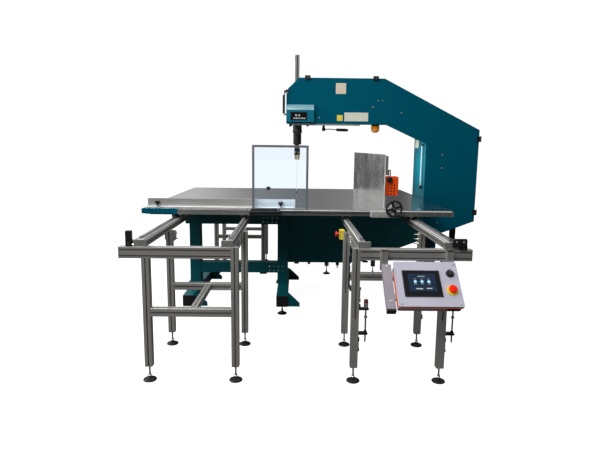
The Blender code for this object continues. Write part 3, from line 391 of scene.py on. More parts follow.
    def tube(self, pts, r, key=None, segs=12, res=6):
        """Round bar through the points, on a smooth line."""
        cu = bpy.data.curves.new("tube", 'CURVE')
        cu.dimensions = '3D'
        cu.bevel_depth = r
        cu.bevel_resolution = max(1, segs // 4)
        cu.use_fill_caps = True
        sp = cu.splines.new('NURBS' if len(pts) > 2 else 'POLY')
        sp.points.add(len(pts) - 1)
        for q, c in zip(sp.points, pts):
            q.co = (c[0] - SX, c[1] - SY, c[2], 1.0)
        if len(pts) > 2:
            sp.use_endpoint_u = True
            sp.order_u = 3
            sp.resolution_u = res
        ob = bpy.data.objects.new("tube", cu)
        bpy.context.scene.collection.objects.link(ob)
        bpy.context.view_layer.update()
        me = bpy.data.meshes.new_from_object(ob.evaluated_get(bpy.context.evaluated_depsgraph_get()))
        bpy.data.objects.remove(ob, do_unlink=True)
        bm = bmesh.new()
        bm.from_mesh(me)
        bpy.data.meshes.remove(me)
        bmesh.ops.remove_doubles(bm, verts=bm.verts, dist=1e-6)
        return self._take(bm, key, world=True)

    def node(self, name, key=None, weld=1e-5, flat=True):
        """The CAD node's own shape, with its flat faces joined up."""
        bm = bmesh.new()
        bm.from_mesh(frame["nodes"][name].data)
        bmesh.ops.remove_doubles(bm, verts=bm.verts, dist=weld)
        if flat:
            bmesh.ops.dissolve_limit(bm, angle_limit=math.radians(0.5), verts=bm.verts, edges=bm.edges)
        return self._take(bm, key, world=True)

    def done(self, angle=32, weighted=True):
        me = bpy.data.meshes.new(self.name)
        self.bm.to_mesh(me)
        self.bm.free()
        for m in self.mats:
            me.materials.append(m)
        me.set_sharp_from_angle(angle=math.radians(angle))
        ob = bpy.data.objects.new(self.name, me)
        bpy.context.scene.collection.objects.link(ob)
        if weighted:
            w = ob.modifiers.new("weighted", 'WEIGHTED_NORMAL')
            w.keep_sharp = True
        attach(ob, self.body)
        if self.rep:
            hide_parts(*self.rep)
        return ob


def slots(w, h, t=(), b=(), l=(), r=(), c=0.0016, g=0.0041, lip=0.0040, wide=0.0085, deep=0.0105):
    """Outline of a slotted bar, anticlockwise. t, b, l, r hold the groove offsets of each side."""
    hw, hh = w / 2, h / 2

    def groove(o):
        return [(o - g, 0), (o - g, lip), (o - wide, lip), (o - wide, lip + 0.0025), (o - g - 0.0005, deep),
                (o + g + 0.0005, deep), (o + wide, lip + 0.0025), (o + wide, lip), (o + g, lip), (o + g, 0)]
    pts = [(-hw + c, -hh)]
    for o in sorted(b):
        pts += [(x, -hh + d) for x, d in groove(o)]
    pts += [(hw - c, -hh), (hw, -hh + c)]
    for o in sorted(r):
        pts += [(hw - d, x) for x, d in groove(o)]
    pts += [(hw, hh - c), (hw - c, hh)]
    for o in sorted(t, reverse=True):
        pts += [(x, hh - d) for x, d in reversed(groove(o))]
    pts += [(-hw + c, hh), (-hw, hh - c)]
    for o in sorted(l, reverse=True):
        pts += [(-hw + d, x) for x, d in reversed(groove(o))]
    pts += [(-hw, -hh + c)]
    return pts


H = 0.024
SEC4 = slots(0.048, 0.048, (0,), (0,), (0,), (0,))


def leg(p, x, y, z0, z1, sec=SEC4):
    p.sweep(sec, (x, y, z0), (x, y, z1), (0, 1, 0), "alu_z")
    # dark strips sit in the four slots: painted shade inside them
    for sx, sy in ((0, -1), (0, 1), (-1, 0), (1, 0)):
        if sx:
            a, b = sorted((x + sx * (H - 0.0038), x + sx * (H - 0.0010)))
            p.box(a, b, y - 0.0041, y + 0.0041, z0 + 0.001, z1 - 0.001, 0.0, "groove")
        else:
            a, b = sorted((y + sy * (H - 0.0038), y + sy * (H - 0.0010)))
            p.box(x - 0.0041, x + 0.0041, a, b, z0 + 0.001, z1 - 0.001, 0.0, "groove")


def beam_strips(p, x0, x1, y, hy, zs):
    """Dark strips in the long slots of a cross beam: painted shade inside the slots."""
    for z in zs:
        for sy in (-1, 1):
            a, b = sorted((y + sy * (hy - 0.0038), y + sy * (hy - 0.0010)))
            p.box(x0 + 0.001, x1 - 0.001, a, b, z - 0.0041, z + 0.0041, 0.0, "groove")


def foot(p, x, y, top=0.098, pad="sole"):
    """Levelling foot: domed pad, ball neck, lock nut and threaded spindle."""
    p.turn([(0.0, 0.0), (0.0400, 0.0), (0.0425, 0.0020), (0.0429, 0.0060), (0.0405, 0.0095), (0.0320, 0.0140), (0.0180, 0.0185),
            (0.0130, 0.0215), (0.0118, 0.0260), (0.0, 0.0260)], (x, y, 0), (0, 0, 1), 32, pad)
    p.turn([(0.0, 0.0240), (0.0100, 0.0240), (0.0112, 0.0270), (0.0112, 0.0330), (0.0090, 0.0360), (0.0, 0.0360)], (x, y, 0), (0, 0, 1), 20, "zinc")
    p.cyl((x, y, 0.0360), (0, 0, 1), 0.0098, 0.0085, 6, key="zinc", bev=0.0006)
    prof, z = [(0.0, 0.0400)], 0.0400
    while z < top + 0.004:
        prof += [(0.0054, z), (0.0060, z + 0.0012)]
        z += 0.0024
    prof += [(0.0, z)]
    p.turn(prof, (x, y, 0), (0, 0, 1), 12, "dark_steel")


def screw(p, x, y, z, axis, r=0.006, h=0.004, key="zinc", socket=True):
    """Button-head screw with a hexagon socket, its head proud along axis."""
    ax = Vector(axis).normalized()
    p.turn([(0.0, 0.0), (r, 0.0), (r, h * 0.35), (r * 0.86, h * 0.75), (r * 0.55, h), (0.0, h)] if not socket else
           [(0.0, 0.0), (r, 0.0), (r, h * 0.35), (r * 0.86, h * 0.75), (r * 0.50, h), (r * 0.42, h), (r * 0.42, h * 0.45), (0.0, h * 0.45)],
           (x, y, z), ax, 12, key)


def hexbolt(p, x, y, z, axis, af=0.010, h=0.0064, key="zinc", washer=True, shank=0.0):
    ax = Vector(axis).normalized()
    base = Vector((x, y, z))
    if washer:
        p.cyl(base, ax, af * 1.05, 0.0016, 20, key=key)
    p.cyl(base + ax * 0.0015, ax, af * 0.62, h, 6, key=key, bev=0.0006)
    if shank:
        p.cyl(base + ax * h, ax, af * 0.34, shank, 12, key=key)


# ------------------------------------------------------------------ support frames
BL, BT = 0.8000, 0.8717
BM = (BL + BT) / 2


def corner_bracket(p, x, y, z0, z1, sx, key="alu_plain"):
    """Die-cast joint plate on the front face of a leg, with two studs on one side."""
    p.plate([(x - 0.044, z0 + 0.012), (x - 0.044, z1), (x + 0.044, z1), (x + 0.044, z0 + 0.012), (x + 0.030, z0), (x - 0.030, z0)],
            'XZ', y - 0.0075, y - 0.0004, 0.0015, key)
    for dz in (0.20, 0.72):
        z = z0 + (z1 - z0) * dz
        screw(p, x - sx * 0.032, y - 0.0075, z, (0, -1, 0), 0.0065, 0.004)
        p.cyl((x + sx * 0.020, y + 0.006, z), (sx, 0, 0), 0.0042, 0.034, 12, key="zinc")
        p.cyl((x + sx * 0.0205, y + 0.006, z), (sx, 0, 0), 0.0085, 0.0065, 6, key="zinc")


# front left
xo, xi, ya, yb = -0.9165, -0.3676, 0.0, 0.5985
p = Piece("front_left_frame_profiles", "machine", ["alu_z", "alu_x", "alu_y"], rep=["front_left_frame"])
leg(p, xo, ya, 0.098, BL)
leg(p, xi, ya, 0.098, BT - 0.0006)
leg(p, xo, yb, 0.098, BT)
leg(p, xi, yb, 0.098, BT - 0.0006)
p.sweep(slots(0.0486, 0.0717, (0,), (0,), (-0.0195, 0.0175), (-0.0195, 0.0175)), (-1.078, 0, BM), (-0.3725, 0, BM), (0, 0, 1), "alu_x")
p.sweep(slots(0.0400, 0.0700, (0,), (0,), (-0.018, 0.018), (-0.018, 0.018)), (-0.39425, 0.0235, BM - 0.0005), (-0.39425, yb + 0.0235, BM - 0.0005), (0, 0, 1), "alu_y")
p.sweep(slots(0.0470, 0.0520, (0,), (0,), (0,), (0,)), (xo + H, ya, 0.455), (xi - H, ya, 0.455), (0, 0, 1), "alu_x")
p.sweep(slots(0.0470, 0.0505, (0,), (0,), (0,), (0,)), (xo + H, yb, 0.45375), (xi - H, yb, 0.45375), (0, 0, 1), "alu_x")
p.sweep(slots(0.0430, 0.0400, (0,), (0,), (0,), (0,)), (-0.6335, ya + H, 0.457), (-0.6335, yb - H, 0.457), (0, 0, 1), "alu_y")
beam_strips(p, -1.078, -0.3725, 0.0, 0.0243, (BM - 0.0195, BM + 0.0175))
beam_strips(p, xo + H, xi - H, ya, 0.0235, (0.455,))
beam_strips(p, xo + H, xi - H, yb, 0.0235, (0.45375,))
for x in (xo, xi):
    for y in (ya, yb):
        foot(p, x, y)
corner_bracket(p, xo, yb + H + 0.0079, 0.790, 0.8700, 1)
for y, z in ((0.345, 0.8560), (0.350, 0.8350), (0.340, 0.8140), (0.070, 0.8540), (0.070, 0.8180)):
    screw(p, -0.3742, y, z, (1, 0, 0), 0.0085, 0.0050)
p.done()

# front right
xi, xo = 0.3848, 0.9363
p = Piece("front_right_frame_profiles", "machine", ["alu_z", "alu_x", "alu_y"], rep=["front_right_frame"])
leg(p, xo, ya, 0.098, BL)
leg(p, xi, ya, 0.098, BT - 0.0006)
leg(p, xo, yb, 0.098, BT)
leg(p, xi, yb, 0.098, BT - 0.0006)
p.sweep(slots(0.0486, 0.0717, (0,), (0,), (-0.0195, 0.0175), (-0.0195, 0.0175)), (0.3925, 0, BM), (1.098, 0, BM), (0, 0, 1), "alu_x")
p.sweep(slots(0.0400, 0.0700, (0,), (0,), (-0.018, 0.018), (-0.018, 0.018)), (0.41475, 0.0235, BM - 0.0005), (0.41475, yb + 0.0235, BM - 0.0005), (0, 0, 1), "alu_y")
p.sweep(slots(0.0470, 0.0565, (0,), (0,), (0,), (0,)), (xi + H, yb, 0.53875), (xo - H, yb, 0.53875), (0, 0, 1), "alu_x")
for x in (xo, xi):
    for y in (ya, yb):
        foot(p, x, y)
beam_strips(p, 0.3925, 1.098, 0.0, 0.0243, (BM - 0.0195, BM + 0.0175))
beam_strips(p, xi + H, xo - H, yb, 0.0235, (0.53875,))
for x, y, zt in ((xi, ya, 0.419), (xo, ya, 0.414), (xi, yb, 0.418), (xo, yb, 0.418)):
    p.box(x - 0.0236, x + 0.0236, y - H - 0.0008, y - H + 0.001, 0.0985, zt, 0.0004, "alu_z", 1)
for x, z in ((xi - 0.010, 0.430), (xi + 0.010, 0.430)):
    screw(p, x, yb - H, z, (0, -1, 0), 0.0065, 0.004)
# bolts towards the saw on the inner beam, and the wiring beside it
for y, z in ((0.440, 0.8600), (0.445, 0.8420), (0.440, 0.8240), (0.445, 0.8060)):
    screw(p, 0.3947, y, z, (-1, 0, 0), 0.0085, 0.0050)
for z0, z1, w in ((0.745, 0.792, 0.012), (0.700, 0.738, 0.009), (0.650, 0.694, 0.012), (0.606, 0.640, 0.009)):
    p.box(xi - H - 0.010, xi - H - 0.0004, 0.108 - w, 0.108 + w, z0, z1, 0.003, "black")
p.tube([(xi - H - 0.006, 0.108, 0.795), (xi - H - 0.009, 0.104, 0.74), (xi - H - 0.004, 0.112, 0.69), (xi - H - 0.010, 0.104, 0.64), (xi - H - 0.006, 0.108, 0.600)], 0.0038, "black", 10, 5)
p.cyl((xi - H - 0.001, 0.108, 0.6), (0, -1, 0), 0.010, 0.108 - 0.022, 10, key="black")
p.tube([(xi - H - 0.006, 0.108, 0.790), (xi - H - 0.004, 0.108, 0.812), (0.3950, 0.108, 0.818)], 0.0038, "black", 10, 5)
# studs left of the rear outer leg
for z in (0.790, 0.825, 0.858):
    p.cyl((xo - H - 0.0005, yb, z), (-1, 0, 0), 0.0042, 0.030, 12, key="zinc")
    p.cyl((xo - H - 0.0008, yb, z), (-1, 0, 0), 0.0088, 0.0065, 6, key="zinc")
p.plate([(0.893, 0.8190), (0.893, 0.8690), (0.962, 0.8690), (0.962, 0.8490), (0.925, 0.8190)], 'XZ', 0.0215, 0.0300, 0.0015, "alu_plain")
screw(p, 0.910, 0.0215, 0.838, (0, -1, 0), 0.006, 0.004)
# brackets that carry the floor pins, with their dark fixing blocks
for x in (xi, xo):
    p.plate([(x + H - 0.001, 0.4785), (x + H - 0.001, 0.4895), (x + H + 0.060, 0.4895), (x + H + 0.064, 0.4860), (x + H + 0.058, 0.4785)], 'XZ', -0.0180, 0.0180, 0.0012, "black")
    p.box(x + H - 0.001, x + H + 0.010, -0.0172, 0.0172, 0.489, 0.512, 0.0012, "black")
    p.plate([(x + H - 0.001, 0.3170), (x + H - 0.001, 0.3300), (x + H + 0.030, 0.3320), (x + H + 0.060, 0.3260), (x + H + 0.056, 0.3170)], 'XZ', -0.0180, 0.0180, 0.0012, "black")
    p.cyl((x + H + 0.045, 0, 0.3315), (0, 0, 1), 0.0125, 0.012, 16, 0.0080, key="black")
    for z0, z1, d in ((0.530, 0.5480, 0.009), (0.5560, 0.600, 0.006), (0.606, 0.622, 0.010), (0.205, 0.222, 0.010), (0.228, 0.262, 0.006), (0.268, 0.2950, 0.009)):
        p.box(x + H - 0.0005, x + H + d, -0.0120, 0.0120, z0, z1, 0.0015, "black")
p.box(xo + H - 0.0005, xo + H + 0.012, yb - 0.012, yb + 0.012, 0.212, 0.246, 0.002, "black")
# hanger of the control station, right side
p.sweep(slots(0.0400, 0.0440, (), (), (), (0,)), (0.950, -0.0447, 0.7700), (0.950, -0.0447, 0.8660), (1, 0, 0), "alu_z")
p.box(0.9300, 0.9700, -0.0652, -0.0240, 0.8655, 0.8705, 0.001, "black")
p.done()

# left hanger and the slanted bar that carries the control box
PT = Matrix.Translation((0.790, -0.085, 0.800)) @ Matrix.Rotation(math.radians(-46.6), 4, 'X')


def pb(p, x0, x1, n0, n1, v0, v1, r=0.0, key=None, seg=2):
    """Box in the panel's own terms: across, out of the face, down the face."""
    return p.box(x0, x1, -n1, -n0, -v1, -v0, r, key, seg, PT)


def pc(p, x, v, n0, n1, r, segs=28, r2=None, key=None, bev=0.0):
    return p.cyl((x, -n0, -v), (0, -1, 0), r, n1 - n0, segs, r2, key, bev, PT)


PL = 0.296
p = Piece("control_hanger", "machine", ["alu_z"], rep=["control_bracket_left"])
p.sweep(slots(0.0396, 0.0440, (), (), (), (0,)), (0.549, -0.0448, 0.7460), (0.549, -0.0448, 0.8660), (1, 0, 0), "alu_z")
p.box(0.5290, 0.5690, -0.0652, -0.0247, 0.8655, 0.8705, 0.001, "black")
pb(p, -0.2590, -0.2054, -0.0520, -0.0100, 0.0020, PL + 0.010, 0.0030, "bracket")
pb(p, -0.2585, -0.2058, -0.0515, -0.0105, PL + 0.0095, PL + 0.0220, 0.0025, "black")
for v in (0.018, PL - 0.040):
    pc(p, -0.233, v, -0.0102, -0.0088, 0.0095, 20, key="zinc")
    pc(p, -0.233, v, -0.0090, -0.0060, 0.0060, 6, key="zinc", bev=0.0005)
p.done()

# ------------------------------------------------------------------ control box
p = Piece("control_box_housing", "machine", ["panel"], rep=["control_housing"])
pb(p, -0.1900, 0.1790, -0.0700, -0.0180, 0.0060, PL - 0.0070, 0.0080, "panel", 3)
pb(p, -0.1985, 0.1800, -0.0190, -0.0125, 0.0600, PL + 0.0035, 0.0028, "seal", 2)
for v in (0.070, 0.220):
    pb(p, -0.2049, -0.1880, -0.0440, -0.0210, v - 0.018, v + 0.018, 0.0020, "alu_plain")
# a black strain-relief gland and edge trim under the right corner
pb(p, 0.0950, 0.1650, -0.0560, -0.0240, PL - 0.0080, PL - 0.0010, 0.0025, "black")
p.done()

p = Piece("control_front_panel", "machine", ["panel"], rep=["control_panel"])
bm_loop = []
for cx, cv, a0 in ((0.186 - 0.010, -0.001, 0), (-0.193 + 0.010, -0.001, 90), (-0.193 + 0.010, PL - 0.010, 180), (0.186 - 0.010, PL - 0.010, 270)):
    for k in range(6):
        a = math.radians(a0 + 18 * k)
        bm_loop.append((cx + 0.010 * math.cos(a), -(cv - 0.010 * math.sin(a))))
p.plate(bm_loop, 'XZ', 0.0, 0.0118, 0.0016, "panel", PT)
pc(p, 0.131, 0.189, 0.0, 0.0030, 0.0335, 40, key="yellow", bev=0.0008)
pc(p, 0.131, 0.189, 0.0028, 0.0045, 0.0290, 40, key="yellow", bev=0.0006)
for x, v in ((-0.170, 0.015), (0.166, 0.012), (-0.173, 0.278), (0.164, 0.280)):
    pc(p, x, v, 0.0, 0.0022, 0.0056, 20, key="zinc", bev=0.0006)
    pc(p, x, v, 0.0020, 0.0025, 0.0024, 6, key="black")
# row of small chrome dots along the left edge: painted highlights standing in for the bright row between panel and seal
for k in range(17):
    pc(p, -0.1885, 0.030 + k * 0.0148, 0.0, 0.0012, 0.0022, 10, key="chrome")
# engraved scale beside the switch: three plain ticks
for a in (-90, -45, 0):
    t = math.radians(a + 90)
    pb(p, 0.136 + 0.0300 * math.sin(t) - 0.0010, 0.136 + 0.0300 * math.sin(t) + 0.0010, 0.0, 0.0005, 0.075 - 0.0300 * math.cos(t) - 0.0030, 0.075 - 0.0300 * math.cos(t) + 0.0030, 0.0, "black")
p.done()

p = Piece("control_touch_screen", "machine", ["black"], rep=["touch_screen"])
pb(p, -0.1500, 0.0725, 0.0003, 0.0050, 0.0540, 0.2330, 0.0016, "black")
pb(p, -0.1440, 0.0665, 0.0046, 0.0056, 0.0600, 0.2270, 0.0004, "screen")
pb(p, -0.1180, 0.0420, 0.0054, 0.0058, 0.0780, 0.1980, 0.0, "display")
for k, x in enumerate((-0.0790, -0.0390, 0.0010)):
    pc(p, x, 0.1330, 0.0054, 0.0062, 0.0092, 24, key="icon")
    pb(p, x - 0.0090, x + 0.0090, 0.0054, 0.0060, 0.1475, 0.1500, 0.0, "digits")
    pb(p, x - 0.0080, x + 0.0080, 0.0054, 0.0060, 0.1140, 0.1160, 0.0, "digits")
pb(p, -0.0620, -0.0180, 0.0054, 0.0060, 0.0950, 0.0990, 0.0, "digits")
pb(p, -0.0800, -0.0400, 0.0054, 0.0060, 0.1780, 0.1850, 0.0, "digits")
pb(p, -0.0180, 0.0150, 0.0054, 0.0060, 0.1760, 0.1820, 0.0, "digits")
p.done()

p = Piece("control_mode_switch", "switch", ["black"], rep=["mode_switch"])
pc(p, 0.136, 0.075, 0.0003, 0.0075, 0.0245, 36, key="black", bev=0.0012)
pc(p, 0.136, 0.075, 0.0070, 0.0120, 0.0210, 36, 0.0195, key="black", bev=0.0010)
pb(p, 0.1290, 0.1430, 0.0100, 0.0235, 0.0540, 0.0960, 0.0035, "black", 3)
pb(p, 0.1352, 0.1368, 0.0232, 0.0240, 0.0560, 0.0680, 0.0003, "white_plate")
p.done()

p = Piece("control_stop_button", "panel_stop", ["redlit"], rep=["panel_stop_button"])
ax = PT.to_3x3() @ Vector((0, -1, 0))
p.turn([(0.0, -0.0012), (0.0148, -0.0012), (0.0148, 0.0150), (0.0200, 0.0156), (0.0236, 0.0172), (0.0246, 0.0205), (0.0236, 0.0250), (0.0195, 0.0280), (0.0110, 0.0290), (0.0, 0.0292)],
       (0, 0, 0), (0, 0, 1), 40, "redlit", PT @ Matrix.Translation((0.131, 0, -0.189)) @ Matrix.Rotation(math.radians(90), 4, 'X'))
p.done()

# ------------------------------------------------------------------ side stop
p = Piece("side_stop_enclosure", "machine", ["yellow"], rep=["side_stop_box"])
p.box(0.3415, 0.3720, 0.6235, 0.6795, 0.8090, 0.8810, 0.0035, "yellow", 3)
p.box(0.3350, 0.3408, 0.6235, 0.6795, 0.8090, 0.8810, 0.0022, "yellow", 2)
for dy, dz in ((-0.022, -0.032), (0.022, -0.032), (-0.022, 0.026), (0.022, 0.026)):
    screw(p, 0.3352, 0.6515 + dy, 0.8480 + dz, (-1, 0, 0), 0.0034, 0.0012, "zinc")
p.box(0.3716, 0.3740, 0.6235, 0.6685, 0.8160, 0.8695, 0.0004, "alu_plain", 1)
p.cyl((0.3560, 0.6515, 0.8092), (0, 0, -1), 0.0085, 0.016, 16, key="black", bev=0.001)
p.done()
p = Piece("side_stop_mushroom", "side_stop", ["red"], rep=["side_stop_button"])
p.turn([(0.0, 0.0), (0.0098, 0.0), (0.0098, 0.0190), (0.0170, 0.0196), (0.0198, 0.0220), (0.0202, 0.0255), (0.0190, 0.0300), (0.0140, 0.0326), (0.0, 0.0332)],
       (0.3375, 0.6515, 0.8480), (-1, 0, 0), 32, "red")
p.done()

# ------------------------------------------------------------------ rear frames
for nm, xo, xi, sgn in (("rear_left_frame", -0.9165, -0.3676, -1), ("rear_right_frame", 0.9363, 0.3848, 1)):
    yr, ys = 2.790, 3.427
    a, b = min(xo, xi), max(xo, xi)
    p = Piece(nm + "_profiles", "machine", ["alu_z", "alu_x", "alu_y"], rep=[nm])
    for x in (xo, xi):
        leg(p, x, yr, 0.098, BT)
        leg(p, x, ys, 0.098, BL)
    e0, e1 = (a - 0.06, b + 0.0195) if sgn < 0 else (a - 0.0195, b + 0.06)
    p.sweep(slots(0.0486, 0.0717, (0,), (0,), (-0.0195, 0.0175), (-0.0195, 0.0175)), (e0, ys, BM), (e1, ys, BM), (0, 0, 1), "alu_x")
    p.sweep(slots(0.0470, 0.0410, (0,), (0,), (0,), (0,)), (a + H, yr, 0.4405), (b - H, yr, 0.4405), (0, 0, 1), "alu_x")
    p.sweep(slots(0.0470, 0.0410, (0,), (0,), (0,), (0,)), (a + H, ys, 0.4305), (b - H, ys, 0.4305), (0, 0, 1), "alu_x")
    beam_strips(p, e0, e1, ys, 0.0243, (BM - 0.0195, BM + 0.0175))
    beam_strips(p, a + H, b - H, yr, 0.0235, (0.4405,))
    beam_strips(p, a + H, b - H, ys, 0.0235, (0.4305,))
    xm = (a + b) / 2
    p.sweep(slots(0.0400, 0.0280, (0,), (), (), ()), (xm, yr + H, 0.4355), (xm, ys - H, 0.4355), (0, 0, 1), "alu_y")
    for x in (xo, xi):
        for y in (yr, ys):
            foot(p, x, y)
    p.done()

# ------------------------------------------------------------------ rails
RX = {"rail_outer_left": -0.945, "rail_inner_left": -0.3970, "rail_inner_right": 0.4160, "rail_outer_right": 0.9680}
RW = {"rail_outer_left": 0.080, "rail_inner_left": 0.044, "rail_inner_right": 0.044, "rail_outer_right": 0.084}
RE = {"rail_outer_left": (-0.985, -0.905), "rail_inner_left": (-0.449, -0.376), "rail_inner_right": (0.394, 0.470), "rail_outer_right": (0.926, 1.010)}
Y0, Y1 = -0.018, 3.460
GS = [(-0.0100, 0.0), (0.0100, 0.0), (0.0100, 0.0062), (0.0078, 0.0080), (0.0078, 0.0108), (0.0098, 0.0126), (0.0098, 0.0162), (0.0090, 0.0170),
      (-0.0090, 0.0170), (-0.0098, 0.0162), (-0.0098, 0.0126), (-0.0078, 0.0108), (-0.0078, 0.0080), (-0.0100, 0.0062)]
for nm, x in RX.items():
    w = RW[nm]
    o = w / 4 + 0.0010
    p = Piece(nm + "_profile", "machine", ["alu_y", "steel"], rep=[nm])
    if w > 0.06:
        p.sweep(slots(w, 0.0430, (-o - 0.004, o + 0.004), (-o, o), (0,), (0,)), (x, Y0 + 0.003, 0.8935), (x, Y1 - 0.003, 0.8935), (0, 0, 1), "alu_y")
    else:
        p.sweep(slots(w, 0.0430, (), (0,), (0,), (0,)), (x, Y0 + 0.003, 0.8935), (x, Y1 - 0.003, 0.8935), (0, 0, 1), "alu_y")
    for ye, sg in ((Y0 + 0.003, -1), (Y1 - 0.003, 1)):
        y0, y1 = sorted((ye, ye + sg * 0.003))
        e0, e1 = RE[nm] if sg < 0 else (x - w / 2, x + w / 2)
        p.box(e0, e1, y0, y1 + (0.007 if sg < 0 and w < 0.06 else 0.0), 0.8722, 0.9149, 0.0008, "alu_plain", 1)
    # pale strip along the top's left edge: painted highlight
    p.box(x - w / 2 + 0.0012, x - w / 2 + 0.0075, Y0 + 0.006, Y1 - 0.006, 0.9140, 0.9154, 0.0, "edge")
    # dark strips along the rail top: painted slot shade
    if w < 0.06:
        p.box(x - w / 2 + 0.0080, x - w / 2 + 0.0112, Y0 + 0.006, Y1 - 0.006, 0.9140, 0.9153, 0.0, "groove")
    p.box(x + w / 2 - 0.0112, x + w / 2 - 0.0072, Y0 + 0.006, Y1 - 0.006, 0.9140, 0.9153, 0.0, "groove")
    # on the wide rails two more pale strips on the top: painted highlights
    if w > 0.06:
        p.box(x - 0.0190, x - 0.0140, Y0 + 0.006, Y1 - 0.006, 0.9140, 0.9153, 0.0, "edge")
        p.box(x + 0.0120, x + 0.0190, Y0 + 0.006, Y1 - 0.006, 0.9140, 0.9153, 0.0, "edge")
    # dark strips inside the side slots: painted shade
    for sx in (-1, 1):
        a, b = sorted((x + sx * (w / 2 - 0.0038), x + sx * (w / 2 - 0.0010)))
        p.box(a, b, Y0 + 0.006, Y1 - 0.006, 0.8894, 0.8976, 0.0, "groove")
    p.sweep([(q, r - 0.0) for q, r in GS], (x, Y0 + 0.03, 0.9148), (x, Y1 - 0.03, 0.9148), (0, 0, 1), "steel")
    y = Y0 + 0.075
    while y < Y1 - 0.06:
        p.cyl((x, y, 0.9312), (0, 0, 1), 0.0045, 0.0009, 10, key="dark_steel")
        y += 0.12
    p.done()

# ------------------------------------------------------------------ end stops
p = Piece("end_stop_left_block", "machine", ["black"], rep=["end_stop_left"])
p.box(-1.034, -0.998, -0.018, 0.018, 0.8722, 0.968, 0.0025, "black")
p.cyl((-0.9985, 0.0, 0.902), (1, 0, 0), 0.0115, 0.0125, 20, key="rubber", bev=0.002)
p.cyl((-0.9985, 0.0, 0.882), (1, 0, 0), 0.0085, 0.0100, 6, key="zinc")
p.cyl((-1.016, -0.0179, 0.890), (0, -1, 0), 0.0050, 0.0030, 6, key="zinc")
p.done()
p = Piece("end_stop_right_block", "machine", ["black"], rep=["end_stop_right"])
p.box(0.9660, 1.0570, -0.0440, -0.0184, 0.8880, 0.9420, 0.0085, "black", 4)
p.box(1.0125, 1.0590, -0.0405, 0.0180, 0.8723, 0.9010, 0.0030, "black")
for x in (0.990, 1.034):
    screw(p, x, -0.0440, 0.9220, (0, -1, 0), 0.0068, 0.0040)
p.done()

# ------------------------------------------------------------------ floor pins
for nm, x, bd in (("floor_pin_left", 0.4538, "pin_left"), ("floor_pin_right", 1.0053, "pin_right")):
    p = Piece(nm + "_rod", bd, ["dark_steel"], rep=[nm])
    p.turn([(0.0, 0.2620), (0.0020, 0.2620), (0.0052, 0.2720), (0.0052, 0.3120), (0.0052, 0.4250), (0.0052, 0.5060), (0.0, 0.5060)], (x, 0, 0), (0, 0, 1), 16, "dark_steel")
    p.turn([(0.0, 0.4250), (0.0098, 0.4250), (0.0106, 0.4270), (0.0106, 0.4350), (0.0098, 0.4370), (0.0, 0.4370)], (x, 0, 0), (0, 0, 1), 20, "zinc")
    p.turn([(0.0, 0.4920), (0.0132, 0.4920), (0.0138, 0.4940), (0.0138, 0.5230), (0.0130, 0.5260), (0.0, 0.5260)], (x, 0, 0), (0, 0, 1), 24, "alu_plain")
    p.turn([(0.0, 0.5250), (0.0132, 0.5255), (0.0140, 0.5310), (0.0134, 0.5400), (0.0100, 0.5448), (0.0, 0.5450)], (x, 0, 0), (0, 0, 1), 24, "darkred")
    p.done()

# ------------------------------------------------------------------ machine stand
p = Piece("machine_stand_weldment", "machine", ["teal_dark"], rep=["machine_stand"])
R6 = 0.006
p.box(-0.972, -0.868, 1.2020, 2.2480, 0.098, 0.198, R6, "teal_dark", 3)
p.box(-0.155, -0.053, 1.2020, 2.2480, 0.098, 0.198, R6, "teal_dark", 3)
for x0, x1 in ((-0.972, -0.868), (-0.155, -0.053)):
    for y0, y1 in ((1.2000, 1.2060), (2.2440, 2.2500)):
        p.box(x0 + 0.001, x1 - 0.001, y0, y1, 0.099, 0.197, 0.0030, "black")
p.box(-0.988, -0.884, 1.62, 1.72, 0.196, 0.80, R6, "teal_dark", 3)
p.box(-0.160, -0.060, 1.62, 1.72, 0.196, 0.80, R6, "teal_dark", 3)
p.box(-1.025, -0.064, 1.6205, 1.7195, 0.766, 0.861, R6, "teal_dark", 3)
p.box(-0.90, -0.062, 1.6215, 1.7185, 0.300, 0.402, R6, "teal_dark", 3)
p.box(-1.003, -0.868, 1.615, 1.725, 0.196, 0.212, 0.003, "teal_dark")
p.box(-0.172, -0.048, 1.615, 1.725, 0.196, 0.206, 0.002, "teal_dark")
p.box(-0.155, -0.062, 1.715, 1.9217, 0.702, 0.798, 0.004, "teal_dark")
p.box(-0.155, -0.062, 1.715, 1.9217, 0.347, 0.393, 0.004, "teal_dark")
for x in (-0.868, -0.055):
    for y in (1.225, 2.13):
        p.plate([(x - 0.010, 0.102), (x + 0.106, 0.102), (x + 0.106, 0.128), (x + 0.010, 0.220), (x - 0.010, 0.220)], 'XZ', y, y + 0.012, 0.0012, "teal_dark")
        p.plate([(x - 0.008, 0.1000), (x + 0.107, 0.1000), (x + 0.107, 0.1050), (x - 0.008, 0.1050)], 'XZ', y - 0.014, y + 0.026, 0.001, "teal_dark")
for x in (-0.292, -0.255, -0.208, -0.170):
    for z in (0.8290, 0.7880):
        screw(p, x, 1.6210, z, (0, -1, 0), 0.0075, 0.004, "zinc")
for x in (-0.235, -0.192, -0.149, -0.111):
    for z in (0.3620, 0.3220):
        screw(p, x, 1.6220, z, (0, -1, 0), 0.0075, 0.004, "zinc")
for x in (-0.748, -0.295):
    p.box(x - 0.033, x + 0.033, 1.640, 1.700, 0.282, 0.3010, 0.004, "black")
for x in (-0.920, -0.105):
    for y in (1.318, 2.14):
        foot(p, x, y, 0.094)
        p.cyl((x, y, 0.088), (0, 0, 1), 0.0145, 0.010, 6, key="zinc", bev=0.001)
p.done()

# ------------------------------------------------------------------ saw body
OUTER = [(-.0915, 1.7310), (-.0915, 2.0290), (.0320, 2.1470), (.8550, 2.1470), (1.7980, 1.6720), (1.7980, .7700), (1.0320, .4820),
         (.6410, .3350), (-.0915, .3350), (-.0915, .8600), (1.2802, .8600), (1.2802, 1.5900), (.9686, 1.7310)]


